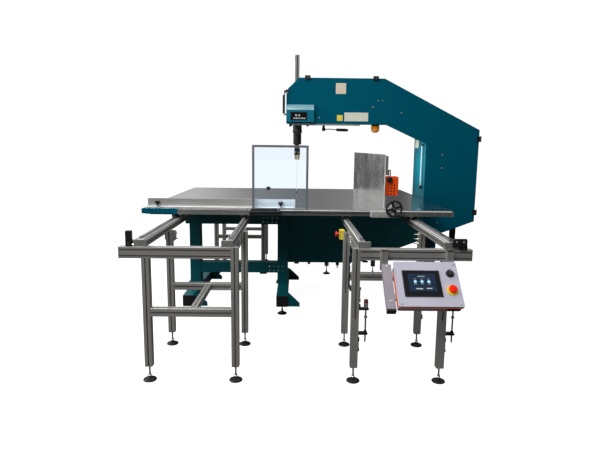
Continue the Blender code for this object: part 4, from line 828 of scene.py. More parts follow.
def shell_copy():
    """The body's own solid with its outside corners and rear rim rounded like folded sheet."""
    bm = bmesh.new()
    bm.from_mesh(frame["nodes"]["body_shell"].data)
    bmesh.ops.remove_doubles(bm, verts=bm.verts, dist=1e-5)
    bmesh.ops.dissolve_limit(bm, angle_limit=math.radians(0.5), verts=bm.verts, edges=bm.edges)
    pts = [W(x, 0, z) for x, z in OUTER]
    yb_ = 2.4166 - SY

    def on_corner(v):
        return any(abs(v.co.x - q.x) < 2e-4 and abs(v.co.z - q.z) < 2e-4 for q in pts)

    def on_outline(v):
        for i in range(len(pts)):
            a, b = pts[i - 1], pts[i]
            d = Vector((b.x - a.x, b.z - a.z))
            l = d.length
            d.normalize()
            w = Vector((v.co.x - a.x, v.co.z - a.z))
            t = w.dot(d)
            if -1e-4 < t < l + 1e-4 and abs(w.x * d.y - w.y * d.x) < 2e-4:
                return True
        return False
    es = []
    for e in bm.edges:
        u, v = e.verts
        if on_corner(u) and on_corner(v) and abs(u.co.x - v.co.x) < 2e-4 and abs(u.co.z - v.co.z) < 2e-4:
            es.append(e)
        elif abs(u.co.y - yb_) < 2e-4 and abs(v.co.y - yb_) < 2e-4 and on_outline(u) and on_outline(v) and len(e.link_faces) == 2 and e.calc_face_angle(0) > 0.5:
            es.append(e)
    bmesh.ops.bevel(bm, geom=es, offset=0.0040, segments=3, profile=0.5, affect='EDGES', clamp_overlap=True)
    return bm


p = Piece("saw_body_shell", "machine", ["teal_body"], rep=["body_shell"])
p._take(shell_copy(), "teal_body", world=True)
# plain pale plate on the inner side of the column
p.box(1.2795, 1.2806, 2.225, 2.374, 1.493, 1.577, 0.0004, "cream", 1)
# rear panel screws and a louvred vent for the motor
for x, z in ((0.02, 0.42), (0.60, 0.42), (1.20, 0.80), (1.70, 0.80), (1.70, 1.20), (1.70, 1.60), (0.90, 2.06), (0.45, 2.06), (0.06, 2.04), (0.06, 1.80), (0.60, 1.80), (1.36, 1.60), (1.36, 1.10), (0.02, 0.78), (0.60, 0.78)):
    screw(p, x, 2.4166, z, (0, 1, 0), 0.0085, 0.004, "zinc")
for k in range(7):
    z = 0.500 + 0.030 * k
    p.plate([(2.4160, z), (2.4160, z + 0.017), (2.4205, z + 0.004), (2.4205, z)], 'YZ', 0.50, 0.74, 0.0008, "teal", None, 1)
# dust outlet: black hose stub and clamp
p.turn([(0.0292, 0.4420), (0.0325, 0.4420), (0.0325, 0.7150), (0.0292, 0.7150), (0.0292, 0.4420)], (1.6615, 2.160, 0), (0, 0, 1), 32, "black")
p.turn([(0.0322, 0.4700), (0.0336, 0.4700), (0.0336, 0.4820), (0.0322, 0.4820), (0.0322, 0.4700)], (1.6615, 2.160, 0), (0, 0, 1), 32, "zinc")
# black feet and fixings under the lower box
p.box(0.000, 0.046, 1.930, 1.990, 0.3180, 0.3352, 0.003, "black")
p.cyl((0.150, 1.960, 0.3352), (0, 0, -1), 0.013, 0.026, 16, key="black", bev=0.002)
p.cyl((0.440, 1.960, 0.3352), (0, 0, -1), 0.017, 0.036, 16, key="black", bev=0.002)
p.cyl((0.440, 1.960, 0.3002), (0, 0, -1), 0.006, 0.030, 12, key="zinc")
p.done()

p = Piece("column_leg", "machine", ["teal"], rep=["body_leg"])
p.plate([(1.401, 0.0115), (1.454, 0.0115), (1.454, 0.6400), (1.401, 0.6201)], 'XZ', 2.02, 2.34, 0.0040, "teal")
p.box(1.365, 1.490, 1.99, 2.37, 0.0, 0.012, 0.002, "teal")
for x in (1.380, 1.476):
    for y in (2.02, 2.34):
        hexbolt(p, x, y, 0.012, (0, 0, 1), 0.010, 0.007)
p.done()


def flat_panel(p, pts, y0, y1, r, key):
    """Sheet with its front edges rolled over."""
    bm = bmesh.new()
    a = [bm.verts.new((x - SX, y0 - SY, z)) for x, z in pts]
    b = [bm.verts.new((x - SX, y1 - SY, z)) for x, z in pts]
    n = len(pts)
    front = bm.faces.new(a)
    for i in range(n):
        bm.faces.new((a[i], a[(i + 1) % n], b[(i + 1) % n], b[i]))
    bm.faces.new(list(reversed(b)))
    bmesh.ops.recalc_face_normals(bm, faces=bm.faces)
    rim = list(front.edges)
    bmesh.ops.bevel(bm, geom=rim, offset=r, segments=4, profile=0.5, affect='EDGES', clamp_overlap=True)
    p._take(bm, key, world=True)


BY = 1.9220
p = Piece("front_door_sheet", "door", ["teal"], rep=["front_door"])
flat_panel(p, [(-.0915, 1.7140), (-.0915, 2.0290), (.0320, 2.1470), (.8550, 2.1470), (1.7980, 1.6720), (1.7980, .7700), (1.2900, .5790),
               (1.2900, .8600), (1.2802, .8600), (1.2802, 1.5320), (.8780, 1.7140)], BY, BY + 0.004, 0.0030, "teal")
for x, z in ((.230, 1.771), (.747, 1.877), (.798, 1.940), (.839, 1.940), (1.026, 1.825), (1.445, 1.429), (1.446, 1.300), (1.425, .751)):
    screw(p, x, BY, z, (0, -1, 0), 0.0062 if z > 1.9 else 0.0082, 0.0030, "screw_dim")
# plain plates where notices would be
p.box(.384, .482, BY - 0.0010, BY + 0.0006, 1.998, 2.099, 0.0005, "cream", 1)
p.box(.400, .455, BY - 0.0010, BY + 0.0006, 1.7430, 1.7990, 0.0005, "yellow_plate", 1)
p.box(.472, .703, BY - 0.0010, BY + 0.0006, 1.7410, 1.8240, 0.0005, "white_plate", 1)
# folded stiffener on the inside of the door
p.box(.15, .90, BY + 0.0036, BY + 0.0046, 2.02, 2.05, 0.0, "teal")
p.done()

# lower cover in its own copy of the teal, toned for the shade under the table: painted shade
p = Piece("lower_cover_sheet", "machine", ["teal_cover"], rep=["lower_cover"])
flat_panel(p, [(1.2880, .8600), (1.2880, .5782), (1.0320, .4820), (.6410, .3350), (-.0915, .3350), (-.0915, .8600)], BY, BY + 0.004, 0.0030, "teal_cover")
for x, z in ((.233, .658), (1.044, .654), (-.060, .36), (-.060, .835), (1.26, .835), (.62, .36), (1.26, .60)):
    screw(p, x, BY, z, (0, -1, 0), 0.0080, 0.0030, "screw_dim")
p.done()

for nm, z in (("door_hinge_upper", 1.584), ("door_hinge_lower", 0.862)):
    p = Piece(nm + "_leaf", "door", ["black"], rep=[nm])
    p.box(1.774, 1.806, 1.9085, BY - 0.0003, z - 0.027, z + 0.027, 0.0020, "black")
    for k, (a, b) in enumerate(((-0.0268, -0.0095), (-0.0088, 0.0088), (0.0095, 0.0268))):
        p.cyl((1.8080, 1.9130, z + a), (0, 0, 1), 0.0080, b - a, 24, key="black", bev=0.0008)
    p.cyl((1.8080, 1.9130, z - 0.0285), (0, 0, 1), 0.0040, 0.057, 14, key="zinc")
    for dz in (-0.015, 0.015):
        screw(p, 1.7860, 1.9085, z + dz, (0, -1, 0), 0.0050, 0.0025, "black")
    p.done()

for nm, x, bd in (("door_latch_left", 0.112, "latch_left"), ("door_latch_right", 0.767, "latch_right")):
    zc = 2.1465
    p = Piece(nm + "_catch", bd, ["black"], rep=[nm])
    p.box(x - 0.027, x + 0.027, 1.910, BY - 0.0003, zc - 0.004, zc + 0.021, 0.0030, "black")
    for dx in (-0.017, 0.017):
        p.box(x + dx - 0.0085, x + dx + 0.0085, 1.9085, BY - 0.0003, zc - 0.021, zc - 0.001, 0.0025, "black")
    p.cyl((x, 1.901, zc - 0.006), (0, 1, 0), 0.0105, 0.010, 24, key="black", bev=0.0015)
    p.box(x - 0.0022, x + 0.0022, 1.9003, 1.9030, zc - 0.0145, zc + 0.0025, 0.0006, "dark_steel", 1)
    for dx in (-0.018, 0.018):
        screw(p, x + dx, 1.9100, zc + 0.0085, (0, -1, 0), 0.0042, 0.0020, "dark_steel")
    p.done()

p = Piece("door_pull_handle", "door", ["black"], rep=["door_handle"])
p.cyl((-0.1080, 1.9120, 1.7950), (0, 0, 1), 0.0050, 0.238, 14, key="chrome")
p.cyl((-0.1180, 1.9080, 1.8060), (0, 0, 1), 0.0088, 0.176, 20, key="black", bev=0.003)
p.box(-0.1150, -0.0700, 1.903, BY - 0.0003, 1.996, 2.0400, 0.0080, "chrome", 3)
p.cyl((-0.0900, 1.9030, 2.0190), (0, -1, 0), 0.0125, 0.010, 24, key="chrome", bev=0.002)
p.box(-0.1175, -0.0890, 1.904, BY - 0.0003, 1.790, 1.808, 0.004, "chrome")
p.done()

# ------------------------------------------------------------------ depth readout
p = Piece("depth_readout_hood", "door", ["teal"], rep=["depth_readout"])
p.plate([(1.8620, 1.727), (BY - 0.0003, 1.727), (BY - 0.0003, 1.8925), (1.8620, 1.8395)], 'YZ', -0.0885, 0.176, 0.0022, "teal_hood")
# sloping top of the hood in the lighter glossy teal: painted highlight
p.plate([(1.8618, 1.8392), (1.9215, 1.8922), (1.9215, 1.8934), (1.8610, 1.8404)], "YZ", -0.0880, 0.1755, 0.0004, "teal_gloss_painted_highlight", None, 1)
p.box(-.052, .110, 1.8605, 1.8632, 1.7390, 1.8210, 0.0010, "black", 1)
p.box(-.044, .102, 1.8598, 1.8608, 1.7460, 1.8140, 0.0003, "screen", 1)
for k in range(5):
    x = -0.012 + 0.024 * k
    p.box(x - 0.0085, x + 0.0085, 1.8592, 1.8600, 1.7550, 1.7660, 0.0, "digits")
for k in range(2):
    x = 0.004 + 0.030 * k
    p.box(x - 0.0080, x + 0.0080, 1.8592, 1.8600, 1.7800, 1.7960, 0.0, "digits")
p.done()

# ------------------------------------------------------------------ guide post, sleeves and blade guide
p = Piece("guide_post_bar", "guide", ["alu_z"], rep=["guide_post"])
PX, PY0, PY1 = 0.012, 2.069, 2.109
gp = [(PX - 0.021, PY0), (PX - 0.0045, PY0), (PX - 0.0045, PY0 + 0.0030), (PX - 0.0100, PY0 + 0.0030), (PX - 0.0100, PY0 + 0.0052), (PX - 0.0050, PY0 + 0.0085),
      (PX + 0.0050, PY0 + 0.0085), (PX + 0.0100, PY0 + 0.0052), (PX + 0.0100, PY0 + 0.0030), (PX + 0.0045, PY0 + 0.0030), (PX + 0.0045, PY0), (PX + 0.021, PY0),
      (PX + 0.021, PY1), (PX - 0.021, PY1)]
p.plate(gp, 'XY', 1.440, 2.3780, 0.0, "satin_mid")
p.box(PX - 0.0210, PX + 0.0210, PY0 + 0.0002, PY1, 2.3780, 2.3830, 0.0018, "alu_plain")
p.box(PX - 0.0230, PX - 0.0208, PY0 + 0.010, PY1 - 0.006, 2.3320, 2.3720, 0.0008, "black", 1)
p.box(PX - 0.0211, PX - 0.0175, PY0 - 0.0003, PY0 + 0.0020, 1.5300, 2.3780, 0.0, "alu_dark")
p.box(PX + 0.0175, PX + 0.0211, PY0 - 0.0003, PY0 + 0.0020, 1.5300, 2.3780, 0.0, "alu_dark")
p.box(PX - 0.0060, PX + 0.0060, PY0 + 0.0030, PY0 + 0.0060, 1.5300, 2.3780, 0.0, "black")
p.done()

p = Piece("bellows_collar", "machine", ["bellows"], rep=["guide_sleeve_upper"])
prof = [(0.0425, 1.7300), (0.0440, 1.7300), (0.0440, 1.7050)]
z = 1.7040
while z > 1.6560:
    prof += [(0.0445, z), (0.0430, z - 0.0035), (0.0445, z - 0.0070)]
    z -= 0.0080
prof += [(0.0445, 1.6530), (0.0466, 1.6500), (0.0470, 1.6420), (0.0468, 1.6340), (0.0450, 1.6290), (0.0425, 1.6280), (0.0425, 1.7300)]
p.turn(prof, (0.018, 2.020, 0), (0, 0, 1), 48, "bellows")
p.done(angle=50)

p = Piece("bellows_lower_tube", "guide", ["bellows"], rep=["guide_sleeve_lower"])
prof = [(0.0150, 1.8090), (0.0390, 1.8090), (0.0405, 1.8050), (0.0408, 1.6260)]
z = 1.6250
while z > 1.5200:
    prof += [(0.0410, z), (0.0404, z - 0.0020), (0.0378, z - 0.0045), (0.0404, z - 0.0070)]
    z -= 0.0088
prof += [(0.0400, 1.5180), (0.0370, 1.5132), (0.0150, 1.5132), (0.0150, 1.8090)]
p.turn(prof, (0.018, 2.020, 0), (0, 0, 1), 48, "bellows")
p.done(angle=50)

p = Piece("blade_guide_head", "guide", ["black"], rep=["blade_guide"])
for s in (-1, 1):
    pts = [(0.0024, 1.5120), (0.0195, 1.5120), (0.0198, 1.4850), (0.0285, 1.4680), (0.0288, 1.4120), (0.0024, 1.4120)]
    p.plate([(0.018 + s * a, z) for a, z in pts], 'XZ', 2.0020, 2.0340, 0.0016, "black")
    a, b = sorted((0.018 + s * 0.0024, 0.018 + s * 0.0265))
    p.box(a, b, 2.0025, 2.0335, 1.3872, 1.4118, 0.0008, "brass", 1)
    a, b = sorted((0.018 + s * 0.0024, 0.018 + s * 0.0240))
    p.box(a, b, 2.0035, 2.0325, 1.3626, 1.3870, 0.0020, "hook", 2)
    p.cyl((0.018 + s * 0.0160, 2.0022, 1.4360), (0, -1, 0), 0.0062, 0.0045, 20, key="zinc", bev=0.0006)
p.box(0.018 - 0.0150, 0.018 + 0.0150, 2.0335, 2.0684, 1.4420, 1.4960, 0.003, "black")
p.box(0.018 - 0.0190, 0.018 + 0.0190, 2.0300, 2.0430, 1.4100, 1.5120, 0.003, "black")
p.done()

p = Piece("clamp_lever_arm", "clamp_lever", ["black"], rep=["guide_clamp_lever"])
p.turn([(0.0, 1.6480), (0.0150, 1.6480), (0.0165, 1.6500), (0.0170, 1.6700), (0.0160, 1.6780), (0.0120, 1.6820), (0.0120, 1.7306), (0.0, 1.7306)], (0.278, 2.012, 0), (0, 0, 1), 28, "black")
p.tube([(0.286, 2.0115, 1.6620), (0.315, 2.010, 1.6665), (0.350, 2.0075, 1.6650), (0.412, 2.004, 1.6600)], 0.0056, "chrome", 16, 8)
p.turn([(0.0, 0.0), (0.0105, 0.0), (0.0128, 0.004), (0.0142, 0.030), (0.0144, 0.085), (0.0128, 0.112), (0.0090, 0.1180), (0.0, 0.1190)],
       (0.4020, 2.0042, 1.6605), (1, 0, -0.02), 24, "black")
p.done(angle=45)

p = Piece("arm_strip", "machine", ["alu_x"], rep=["arm_rail"])
p.sweep([(-0.0120, 1.6990), (-0.0105, 1.6986), (0.0105, 1.6986), (0.0120, 1.6990), (0.0120, 1.7306), (-0.0120, 1.7306)], (-0.054, 1.939, 0), (0.627, 1.939, 0), (0, 0, 1), "alu_x")
p.ball((-0.0490, 1.9390, 1.6985), 0.0160, "black", 24)
p.ball((0.1170, 1.9390, 1.6985), 0.0130, "black", 24)
for x in (0.02, 0.22, 0.42, 0.60):
    screw(p, x, 1.9272, 1.7065, (0, -1, 0), 0.0042, 0.0015, "zinc")
p.done()

p = Piece("beacon_lens", "machine", ["amber"], rep=["warning_beacon"])
p.turn([(0.0, 1.7306), (0.0395, 1.7306), (0.0395, 1.7020), (0.0, 1.7020)], (0.787, 2.000, 0), (0, 0, 1), 40, "black")
prof = [(0.0, 1.7030), (0.0385, 1.7030), (0.0400, 1.6980)]
z = 1.6960
while z > 1.6740:
    prof += [(0.0412, z), (0.0404, z - 0.0028)]
    z -= 0.0045
prof += [(0.0415, 1.6720), (0.0400, 1.6640), (0.0360, 1.6540), (0.0300, 1.6450), (0.0215, 1.6390), (0.0110, 1.6360), (0.0, 1.6352)]
p.turn(prof, (0.787, 2.000, 0), (0, 0, 1), 40, "amber")
p.done(angle=60)

p = Piece("tube_lamp", "machine", ["opal"], rep=["light_tube"])
p.turn([(0.0, 1.1160), (0.0066, 1.1160), (0.0078, 1.1180), (0.0078, 1.5240), (0.0066, 1.5260), (0.0, 1.5260)], (1.2665, 2.020, 0), (0, 0, 1), 20, "opal")
p.box(1.2556, 1.2799, 2.008, 2.034, 1.0862, 1.1200, 0.0035, "black")
p.box(1.2576, 1.2799, 2.011, 2.031, 1.5150, 1.5290, 0.0020, "black")
p.turn([(0.0, 1.4300), (0.0082, 1.4300), (0.0082, 1.4400), (0.0, 1.4400)], (1.2665, 2.020, 0), (0, 0, 1), 20, "alu_plain")
p.done()

# ------------------------------------------------------------------ wheels, band and drive
for nm in ("wheel_upper_left", "wheel_upper_right", "wheel_lower_right", "wheel_lower_left"):
    p = Piece(nm + "_casting", "band_" + nm, ["wheel"], rep=[nm])
    p.node(nm, "wheel", flat=False)
    x = {"wheel_upper_left": 0.2095, "wheel_upper_right": 1.5650, "wheel_lower_right": 1.5650, "wheel_lower_left": 0.2095}[nm]
    z = {"wheel_upper_left": 1.9310, "wheel_upper_right": 1.5500, "wheel_lower_right": 0.9200, "wheel_lower_left": 0.5500}[nm]
    for k in range(5):
        a = math.radians(72 * k + 9)
        screw(p, x + 0.037 * math.cos(a), 1.9902, z + 0.037 * math.sin(a), (0, -1, 0), 0.0050, 0.0035, "zinc")
    p.turn([(0.1895, -0.0185), (0.1908, -0.0160), (0.1908, 0.0160), (0.1895, 0.0185), (0.1895, -0.0185)], (x, 2.020, z), (0, -1, 0), 72, "rubber")
    p.done()
p = Piece("saw_band_strip", "machine", ["steel"], rep=["saw_band"])
p.node("saw_band", "band", flat=False)
p.box(0.0171, 0.0187, 2.0082, 2.0318, 0.880, 1.500, 0.0, "band")
p.done()
p = Piece("drive_belt_strip", "machine", ["rubber"], rep=["drive_belt"])
p.node("drive_belt", "rubber", flat=False)
p.done()
p = Piece("motor_pulley_turning", "pulley", ["wheel"], rep=["motor_pulley"])
p.node("motor_pulley", "wheel", flat=False)
p.done()
p = Piece("drive_motor_casing", "machine", ["motor"], rep=["drive_motor"])
MX, MZ = 0.620, 0.600
prof = [(0.0, 0.0), (0.0700, 0.0), (0.0775, 0.006)]
y = 0.020
while y < 0.205:
    prof += [(0.0778, y), (0.0778, y + 0.0050), (0.0720, y + 0.0052), (0.0720, y + 0.0100)]
    y += 0.0110
prof += [(0.0775, 0.2150), (0.0775, 0.2280), (0.0700, 0.2345), (0.0, 0.2345)]
p.turn(prof, (MX, 2.152, MZ), (0, 1, 0), 48, "motor")
p.box(MX - 0.09, MX + 0.09, 2.190, 2.360, MZ - 0.1050, MZ - 0.0500, 0.004, "motor")
p.box(MX - 0.09, MX + 0.09, 2.330, 2.4102, MZ - 0.1040, MZ + 0.0600, 0.004, "motor")
p.box(MX - 0.045, MX + 0.045, 2.200, 2.300, MZ + 0.0500, MZ + 0.1150, 0.006, "motor")
p.done()

# ------------------------------------------------------------------ sliding table
BX = 0.018
TX0, TX1, TY0, TY1, TZ0, TZ1 = -1.2109, 1.2680, 0.9420, 3.0210, 0.9650, 0.9950


def table_copy():
    """Top plate from its CAD shape, its top edges broken by 1.1 mm."""
    bm = bmesh.new()
    bm.from_mesh(frame["nodes"]["table_top"].data)
    bmesh.ops.transform(bm, matrix=frame["nodes"]["table_top"].matrix_world, verts=bm.verts)
    bmesh.ops.remove_doubles(bm, verts=bm.verts, dist=1e-5)
    bmesh.ops.dissolve_limit(bm, angle_limit=math.radians(0.5), verts=bm.verts, edges=bm.edges)
    es = []
    for e in bm.edges:
        u, v = e.verts
        if len(e.link_faces) != 2 or e.calc_face_angle(0) < 0.5:
            continue
        top = abs(u.co.z - TZ1) < 1e-4 and abs(v.co.z - TZ1) < 1e-4
        if top:
            es.append(e)
    bmesh.ops.bevel(bm, geom=es, offset=0.0011, segments=2, profile=0.5, affect='EDGES', clamp_overlap=True)
    return bm


p = Piece("table_plate", "sliding_table", ["table"], rep=["table_top"])
p._take(table_copy(), "table", world=True)
# brush strips along the slot, and a small stop knob on the rear edge
p.box(0.0118, 0.0160, 1.9870, TY1 - 0.0010, 0.9860, 0.9944, 0.0, "rubber")
p.box(0.0200, 0.0242, 1.9870, TY1 - 0.0010, 0.9860, 0.9944, 0.0, "rubber")
p.cyl((-0.320, 2.990, 0.9953), (0, 0, 1), 0.0240, 0.0200, 24, key="black", bev=0.003)
p.done()

p = Piece("table_subframe", "sliding_table", ["teal"], rep=["table_frame"])
zt, zu = 0.9645, 0.9845
for a, b, c, d, e, f in ((-1.17, 1.21, 0.985, 1.055, 0.9367, zt), (-1.17, 1.21, 2.943, 3.010, 0.9367, zt), (-1.165, -1.115, 0.99, 3.005, 0.9375, zu),
                         (1.155, 1.205, 0.99, 3.005, 0.9375, zu), (-0.25, -0.20, 0.99, 3.005, 0.9378, zu), (0.62, 0.67, 0.99, 3.005, 0.9378, zu)):
    p.box(a, b, c, d, e, f, 0.002, "teal")
p.box(-1.2155, -0.931, 0.9168, 0.9415, 0.9522, 0.9943, 0.0035, "teal", 3)
p.box(-1.190, -0.960, 0.930, 1.020, 0.9478, zt, 0.002, "teal")
for x in (-1.146, -0.988):
    screw(p, x, 0.9168, 0.984, (0, -1, 0), 0.0060, 0.0010, "black")
for x in (-0.945, -0.3970, 0.4160, 0.9680):
    for y in (1.02, 2.86):
        for s in (-1, 1):
            a, b = sorted((x + s * 0.0130, x + s * 0.0420))
            p.box(a, b, y - 0.060, y + 0.060, 0.9188, zt, 0.0020, "dark_steel")
        p.box(x - 0.0410, x + 0.0410, y - 0.0590, y + 0.0590, 0.9348, zt, 0.0015, "black")
        for s in (-1, 1):
            p.cyl((x + s * 0.028, y - 0.0600, 0.9400), (0, -1, 0), 0.0035, 0.003, 12, key="zinc")
p.box(0.600, 0.650, 1.06, 2.94, 0.9377, 0.9420, 0.001, "teal", 1)
p.done()

p = Piece("table_front_rail", "sliding_table", ["alu_x"], rep=["front_rail"])
FR = [(0.9172, 0.9480), (0.9417, 0.9480), (0.9417, 0.9860), (0.9172, 0.9860)]


def bar_x(q, x0, x1, slot_):
    if slot_:
        sec = [(0.0000, 0.0), (0.0245, 0.0), (0.0245, 0.0380), (0.0, 0.0380), (0.0, 0.0250), (0.0035, 0.0250), (0.0035, 0.0275), (0.0085, 0.0275), (0.0085, 0.0105), (0.0035, 0.0105), (0.0035, 0.0130), (0.0, 0.0130)]
    else:
        sec = [(0.0000, 0.0006), (0.0006, 0.0), (0.0245, 0.0), (0.0245, 0.0380), (0.0006, 0.0380), (0.0, 0.0374)]
    # drawn in the YZ plane and carried along X
    # the left part of the rail takes the rail aluminium, the rest the darker copy, darker than the same rail's left
    # part
    q.plate([(0.9172 + a, 0.9480 + b) for a, b in sec], 'YZ', x0, x1, 0.0, "alu_rail" if x0 < -0.5 else "alu_dark")


bar_x(p, -0.9305, -0.1190, False)
bar_x(p, -0.1190, 0.7200, True)
bar_x(p, 0.7200, 1.2570, False)
p.box(1.2570, 1.2679, 0.9168, 0.9417, 0.9482, 0.9860, 0.0015, "alu_plain")
# pale strip along the top of the rail: painted highlight
p.box(-0.1180, 1.2560, 0.9180, 0.9410, 0.9855, 0.9863, 0.0, "edge")
for x, z in ((-.906, .970), (-.767, .970), (-.569, .970), (-.442, .970), (.919, .972), (1.054, .972), (1.122, .972), (1.182, .972)):
    p.turn([(0.0, 0.0001), (0.0058, 0.0001), (0.0058, 0.0008), (0.0046, 0.0010), (0.0040, 0.0004), (0.0, 0.0003)], (x, 0.9172, z), (0, -1, 0), 20, "zinc")
    p.cyl((x, 0.9168, z), (0, -1, 0), 0.0034, 0.0003, 12, key="black")
p.done()

p = Piece("cross_fence_angle", "sliding_table", ["alu_plain"], rep=["cross_fence"])
Z1 = TZ1 + 0.0003
p.plate([(0.9440, Z1), (0.9933, Z1), (0.9933, 1.0688), (0.9862, 1.0688), (0.9862, 1.0052), (0.9838, 1.0030), (0.9440, 1.0030)], 'YZ', -1.1810, 0.0030, 0.0007, "alu_fence", None, 1)
for x in (-1.02, -0.80, -0.58, -0.36, -0.20):
    screw(p, x, 0.9862, 1.045, (0, -1, 0), 0.0048, 0.0006, "zinc")
p.done()

for nm, x, bd in (("cross_fence_knob_left", -1.100, "cross_knob_left"), ("cross_fence_knob_right", -0.1135, "cross_knob_right")):
    p = Piece(nm + "_star", bd, ["black"], rep=[nm])
    loop = []
    for k in range(60):
        a = 2 * math.pi * k / 60
        r = 0.0196 + 0.0018 * math.cos(6 * a + math.pi)
        loop.append((x + r * math.cos(a), 0.9625 + r * math.sin(a)))
    p.plate(loop, 'XY', 1.0335, 1.0480, 0.0022, "black", None, 3)
    p.turn([(0.0, 1.0500), (0.0120, 1.0500), (0.0150, 1.0480), (0.0150, 1.0400), (0.0, 1.0400)], (x, 0.9625, 0), (0, 0, 1), 28, "black")
    p.turn([(0.0, 1.0340), (0.0120, 1.0340), (0.0095, 1.0260), (0.0090, 1.0180), (0.0, 1.0180)], (x, 0.9625, 0), (0, 0, 1), 24, "black")
    p.turn([(0.0, 1.0340), (0.0062, 1.0340), (0.0062, 1.0034), (0.0, 1.0034)], (x, 0.9625, 0), (0, 0, 1), 20, "zinc")
    p.done(angle=50)

# ------------------------------------------------------------------ guard window
GX0, GX1, GZ0, GZ1 = -0.336, 0.104, 1.0005, 1.4995
gy0, gy1 = 0.8930, 0.9080
p = Piece("guard_frame_bars", "guard", ["guard"], rep=["guard_frame"])


def gbar(q, a0, b0, a1, b1, w, upright, key):
    """Frame bar with a shallow front groove."""
    if upright:
        x0, x1 = a0, a1
        q.plate([(x0, gy0), (x0 + w * 0.30, gy0), (x0 + w * 0.30, gy0 + 0.0022), (x0 + w * 0.70, gy0 + 0.0022), (x0 + w * 0.70, gy0), (x1, gy0),
                 (x1, gy1), (x0, gy1)], 'XY', b0, b1, 0.0, key)
    else:
        z0, z1 = b0, b1
        q.plate([(gy0, z0), (gy1, z0), (gy1, z1), (gy0, z1), (gy0, z0 + w * 0.70), (gy0 + 0.0022, z0 + w * 0.70), (gy0 + 0.0022, z0 + w * 0.30), (gy0, z0 + w * 0.30)],
                'YZ', a0, a1, 0.0, key)


gbar(p, GX0, GZ0, GX0 + 0.018, GZ1, 0.018, True, "guard")
gbar(p, GX1 - 0.018, GZ0, GX1, GZ1, 0.018, True, "guard")
gbar(p, GX0 + 0.018, GZ1 - 0.018, GX1 - 0.018, GZ1, 0.018, False, "guard")
p.box(GX0 + 0.018, GX1 - 0.018, gy0, gy1, GZ0, GZ0 + 0.008, 0.0008, "guard", 1)
# corner pieces at the top and bottom of both uprights
for x0, x1 in ((GX0 - 0.0004, GX0 + 0.0184), (GX1 - 0.0184, GX1 + 0.0004)):
    p.box(x0, x1, gy0 - 0.0008, gy1 + 0.0008, GZ1 - 0.0185, GZ1 + 0.0003, 0.0010, "guard", 1)
    p.box(x0, x1, gy0 - 0.0006, gy1 + 0.0006, GZ0 - 0.0002, GZ0 + 0.0080, 0.0008, "guard", 1)
p.done()

p = Piece("guard_clear_pane", "guard", ["pane"], rep=["guard_pane"])
p.box(GX0 + 0.0183, GX1 - 0.0183, 0.8980, 0.9030, GZ0 + 0.0083, GZ1 - 0.0183, 0.0, "pane", 1)
p.done(weighted=False)

p = Piece("guard_slide_block", "guard", ["black"], rep=["guard_slide"])
p.box(-0.3600, -0.1120, 0.868, 0.9154, 0.9622, 0.9895, 0.0110, "black", 4)
p.box(-0.345, -0.140, 0.885, 0.9130, 0.985, GZ0 - 0.0004, 0.0030, "black")
p.box(-0.355, -0.331, 0.872, 0.890, 0.9452, 0.972, 0.0050, "black", 3)
for x in (-0.325, -0.150):
    p.cyl((x, 0.8680, 0.9760), (0, -1, 0), 0.0060, 0.0012, 20, key="rubber")
p.done()

# ------------------------------------------------------------------ rip fence
FX0, FX1 = 0.712, 0.722
p = Piece("rip_fence_plate", "rip_fence_unit", ["fence"], rep=["rip_fence"])
p.box(FX0, FX1, 0.9750, 3.0600, TZ1 + 0.0006, 1.4355, 0.0010, "fence")
p.box(FX1 - 0.001, 0.7450, 0.9850, 3.0500, 1.2700, 1.4250, 0.0060, "satin_mid")
# pale strip down the fence's front edge: painted highlight
p.box(FX0 + 0.0003, FX1 - 0.0003, 0.9742, 0.9752, TZ1 + 0.0016, 1.4345, 0.0, "edge", 1)
p.done()

p = Piece("fence_carriage_casting", "rip_fence_unit", ["cast"], rep=["fence_carriage"])
HX, HY, HZ = 0.771, 0.840, 1.021
p.box(0.600, 0.800, 0.8462, 0.9154, 0.9452, 0.9960, 0.0045, "satin", 3)
p.box(FX1 + 0.0004, 0.7995, 0.8500, 1.0990, 0.9960, 1.0080, 0.0030, "cast")
p.cyl((HX, 0.8460, HZ), (0, 1, 0), 0.020, 0.060, 32, key="cast", bev=0.0015)
p.box(HX - 0.0195, HX + 0.0195, 0.8462, 0.9055, 0.990, HZ, 0.002, "cast")
p.box(FX1 + 0.0004, 0.7340, 0.985, 1.095, 1.005, 1.1032, 0.0015, "cast")
p.cyl((HX, 0.8405, HZ), (0, 1, 0), 0.007, 0.020, 20, key="zinc")
for x in (0.614, 0.668, 0.716):
    screw(p, x, 0.8462, 0.962, (0, -1, 0), 0.0055, 0.003, "zinc")
p.done()

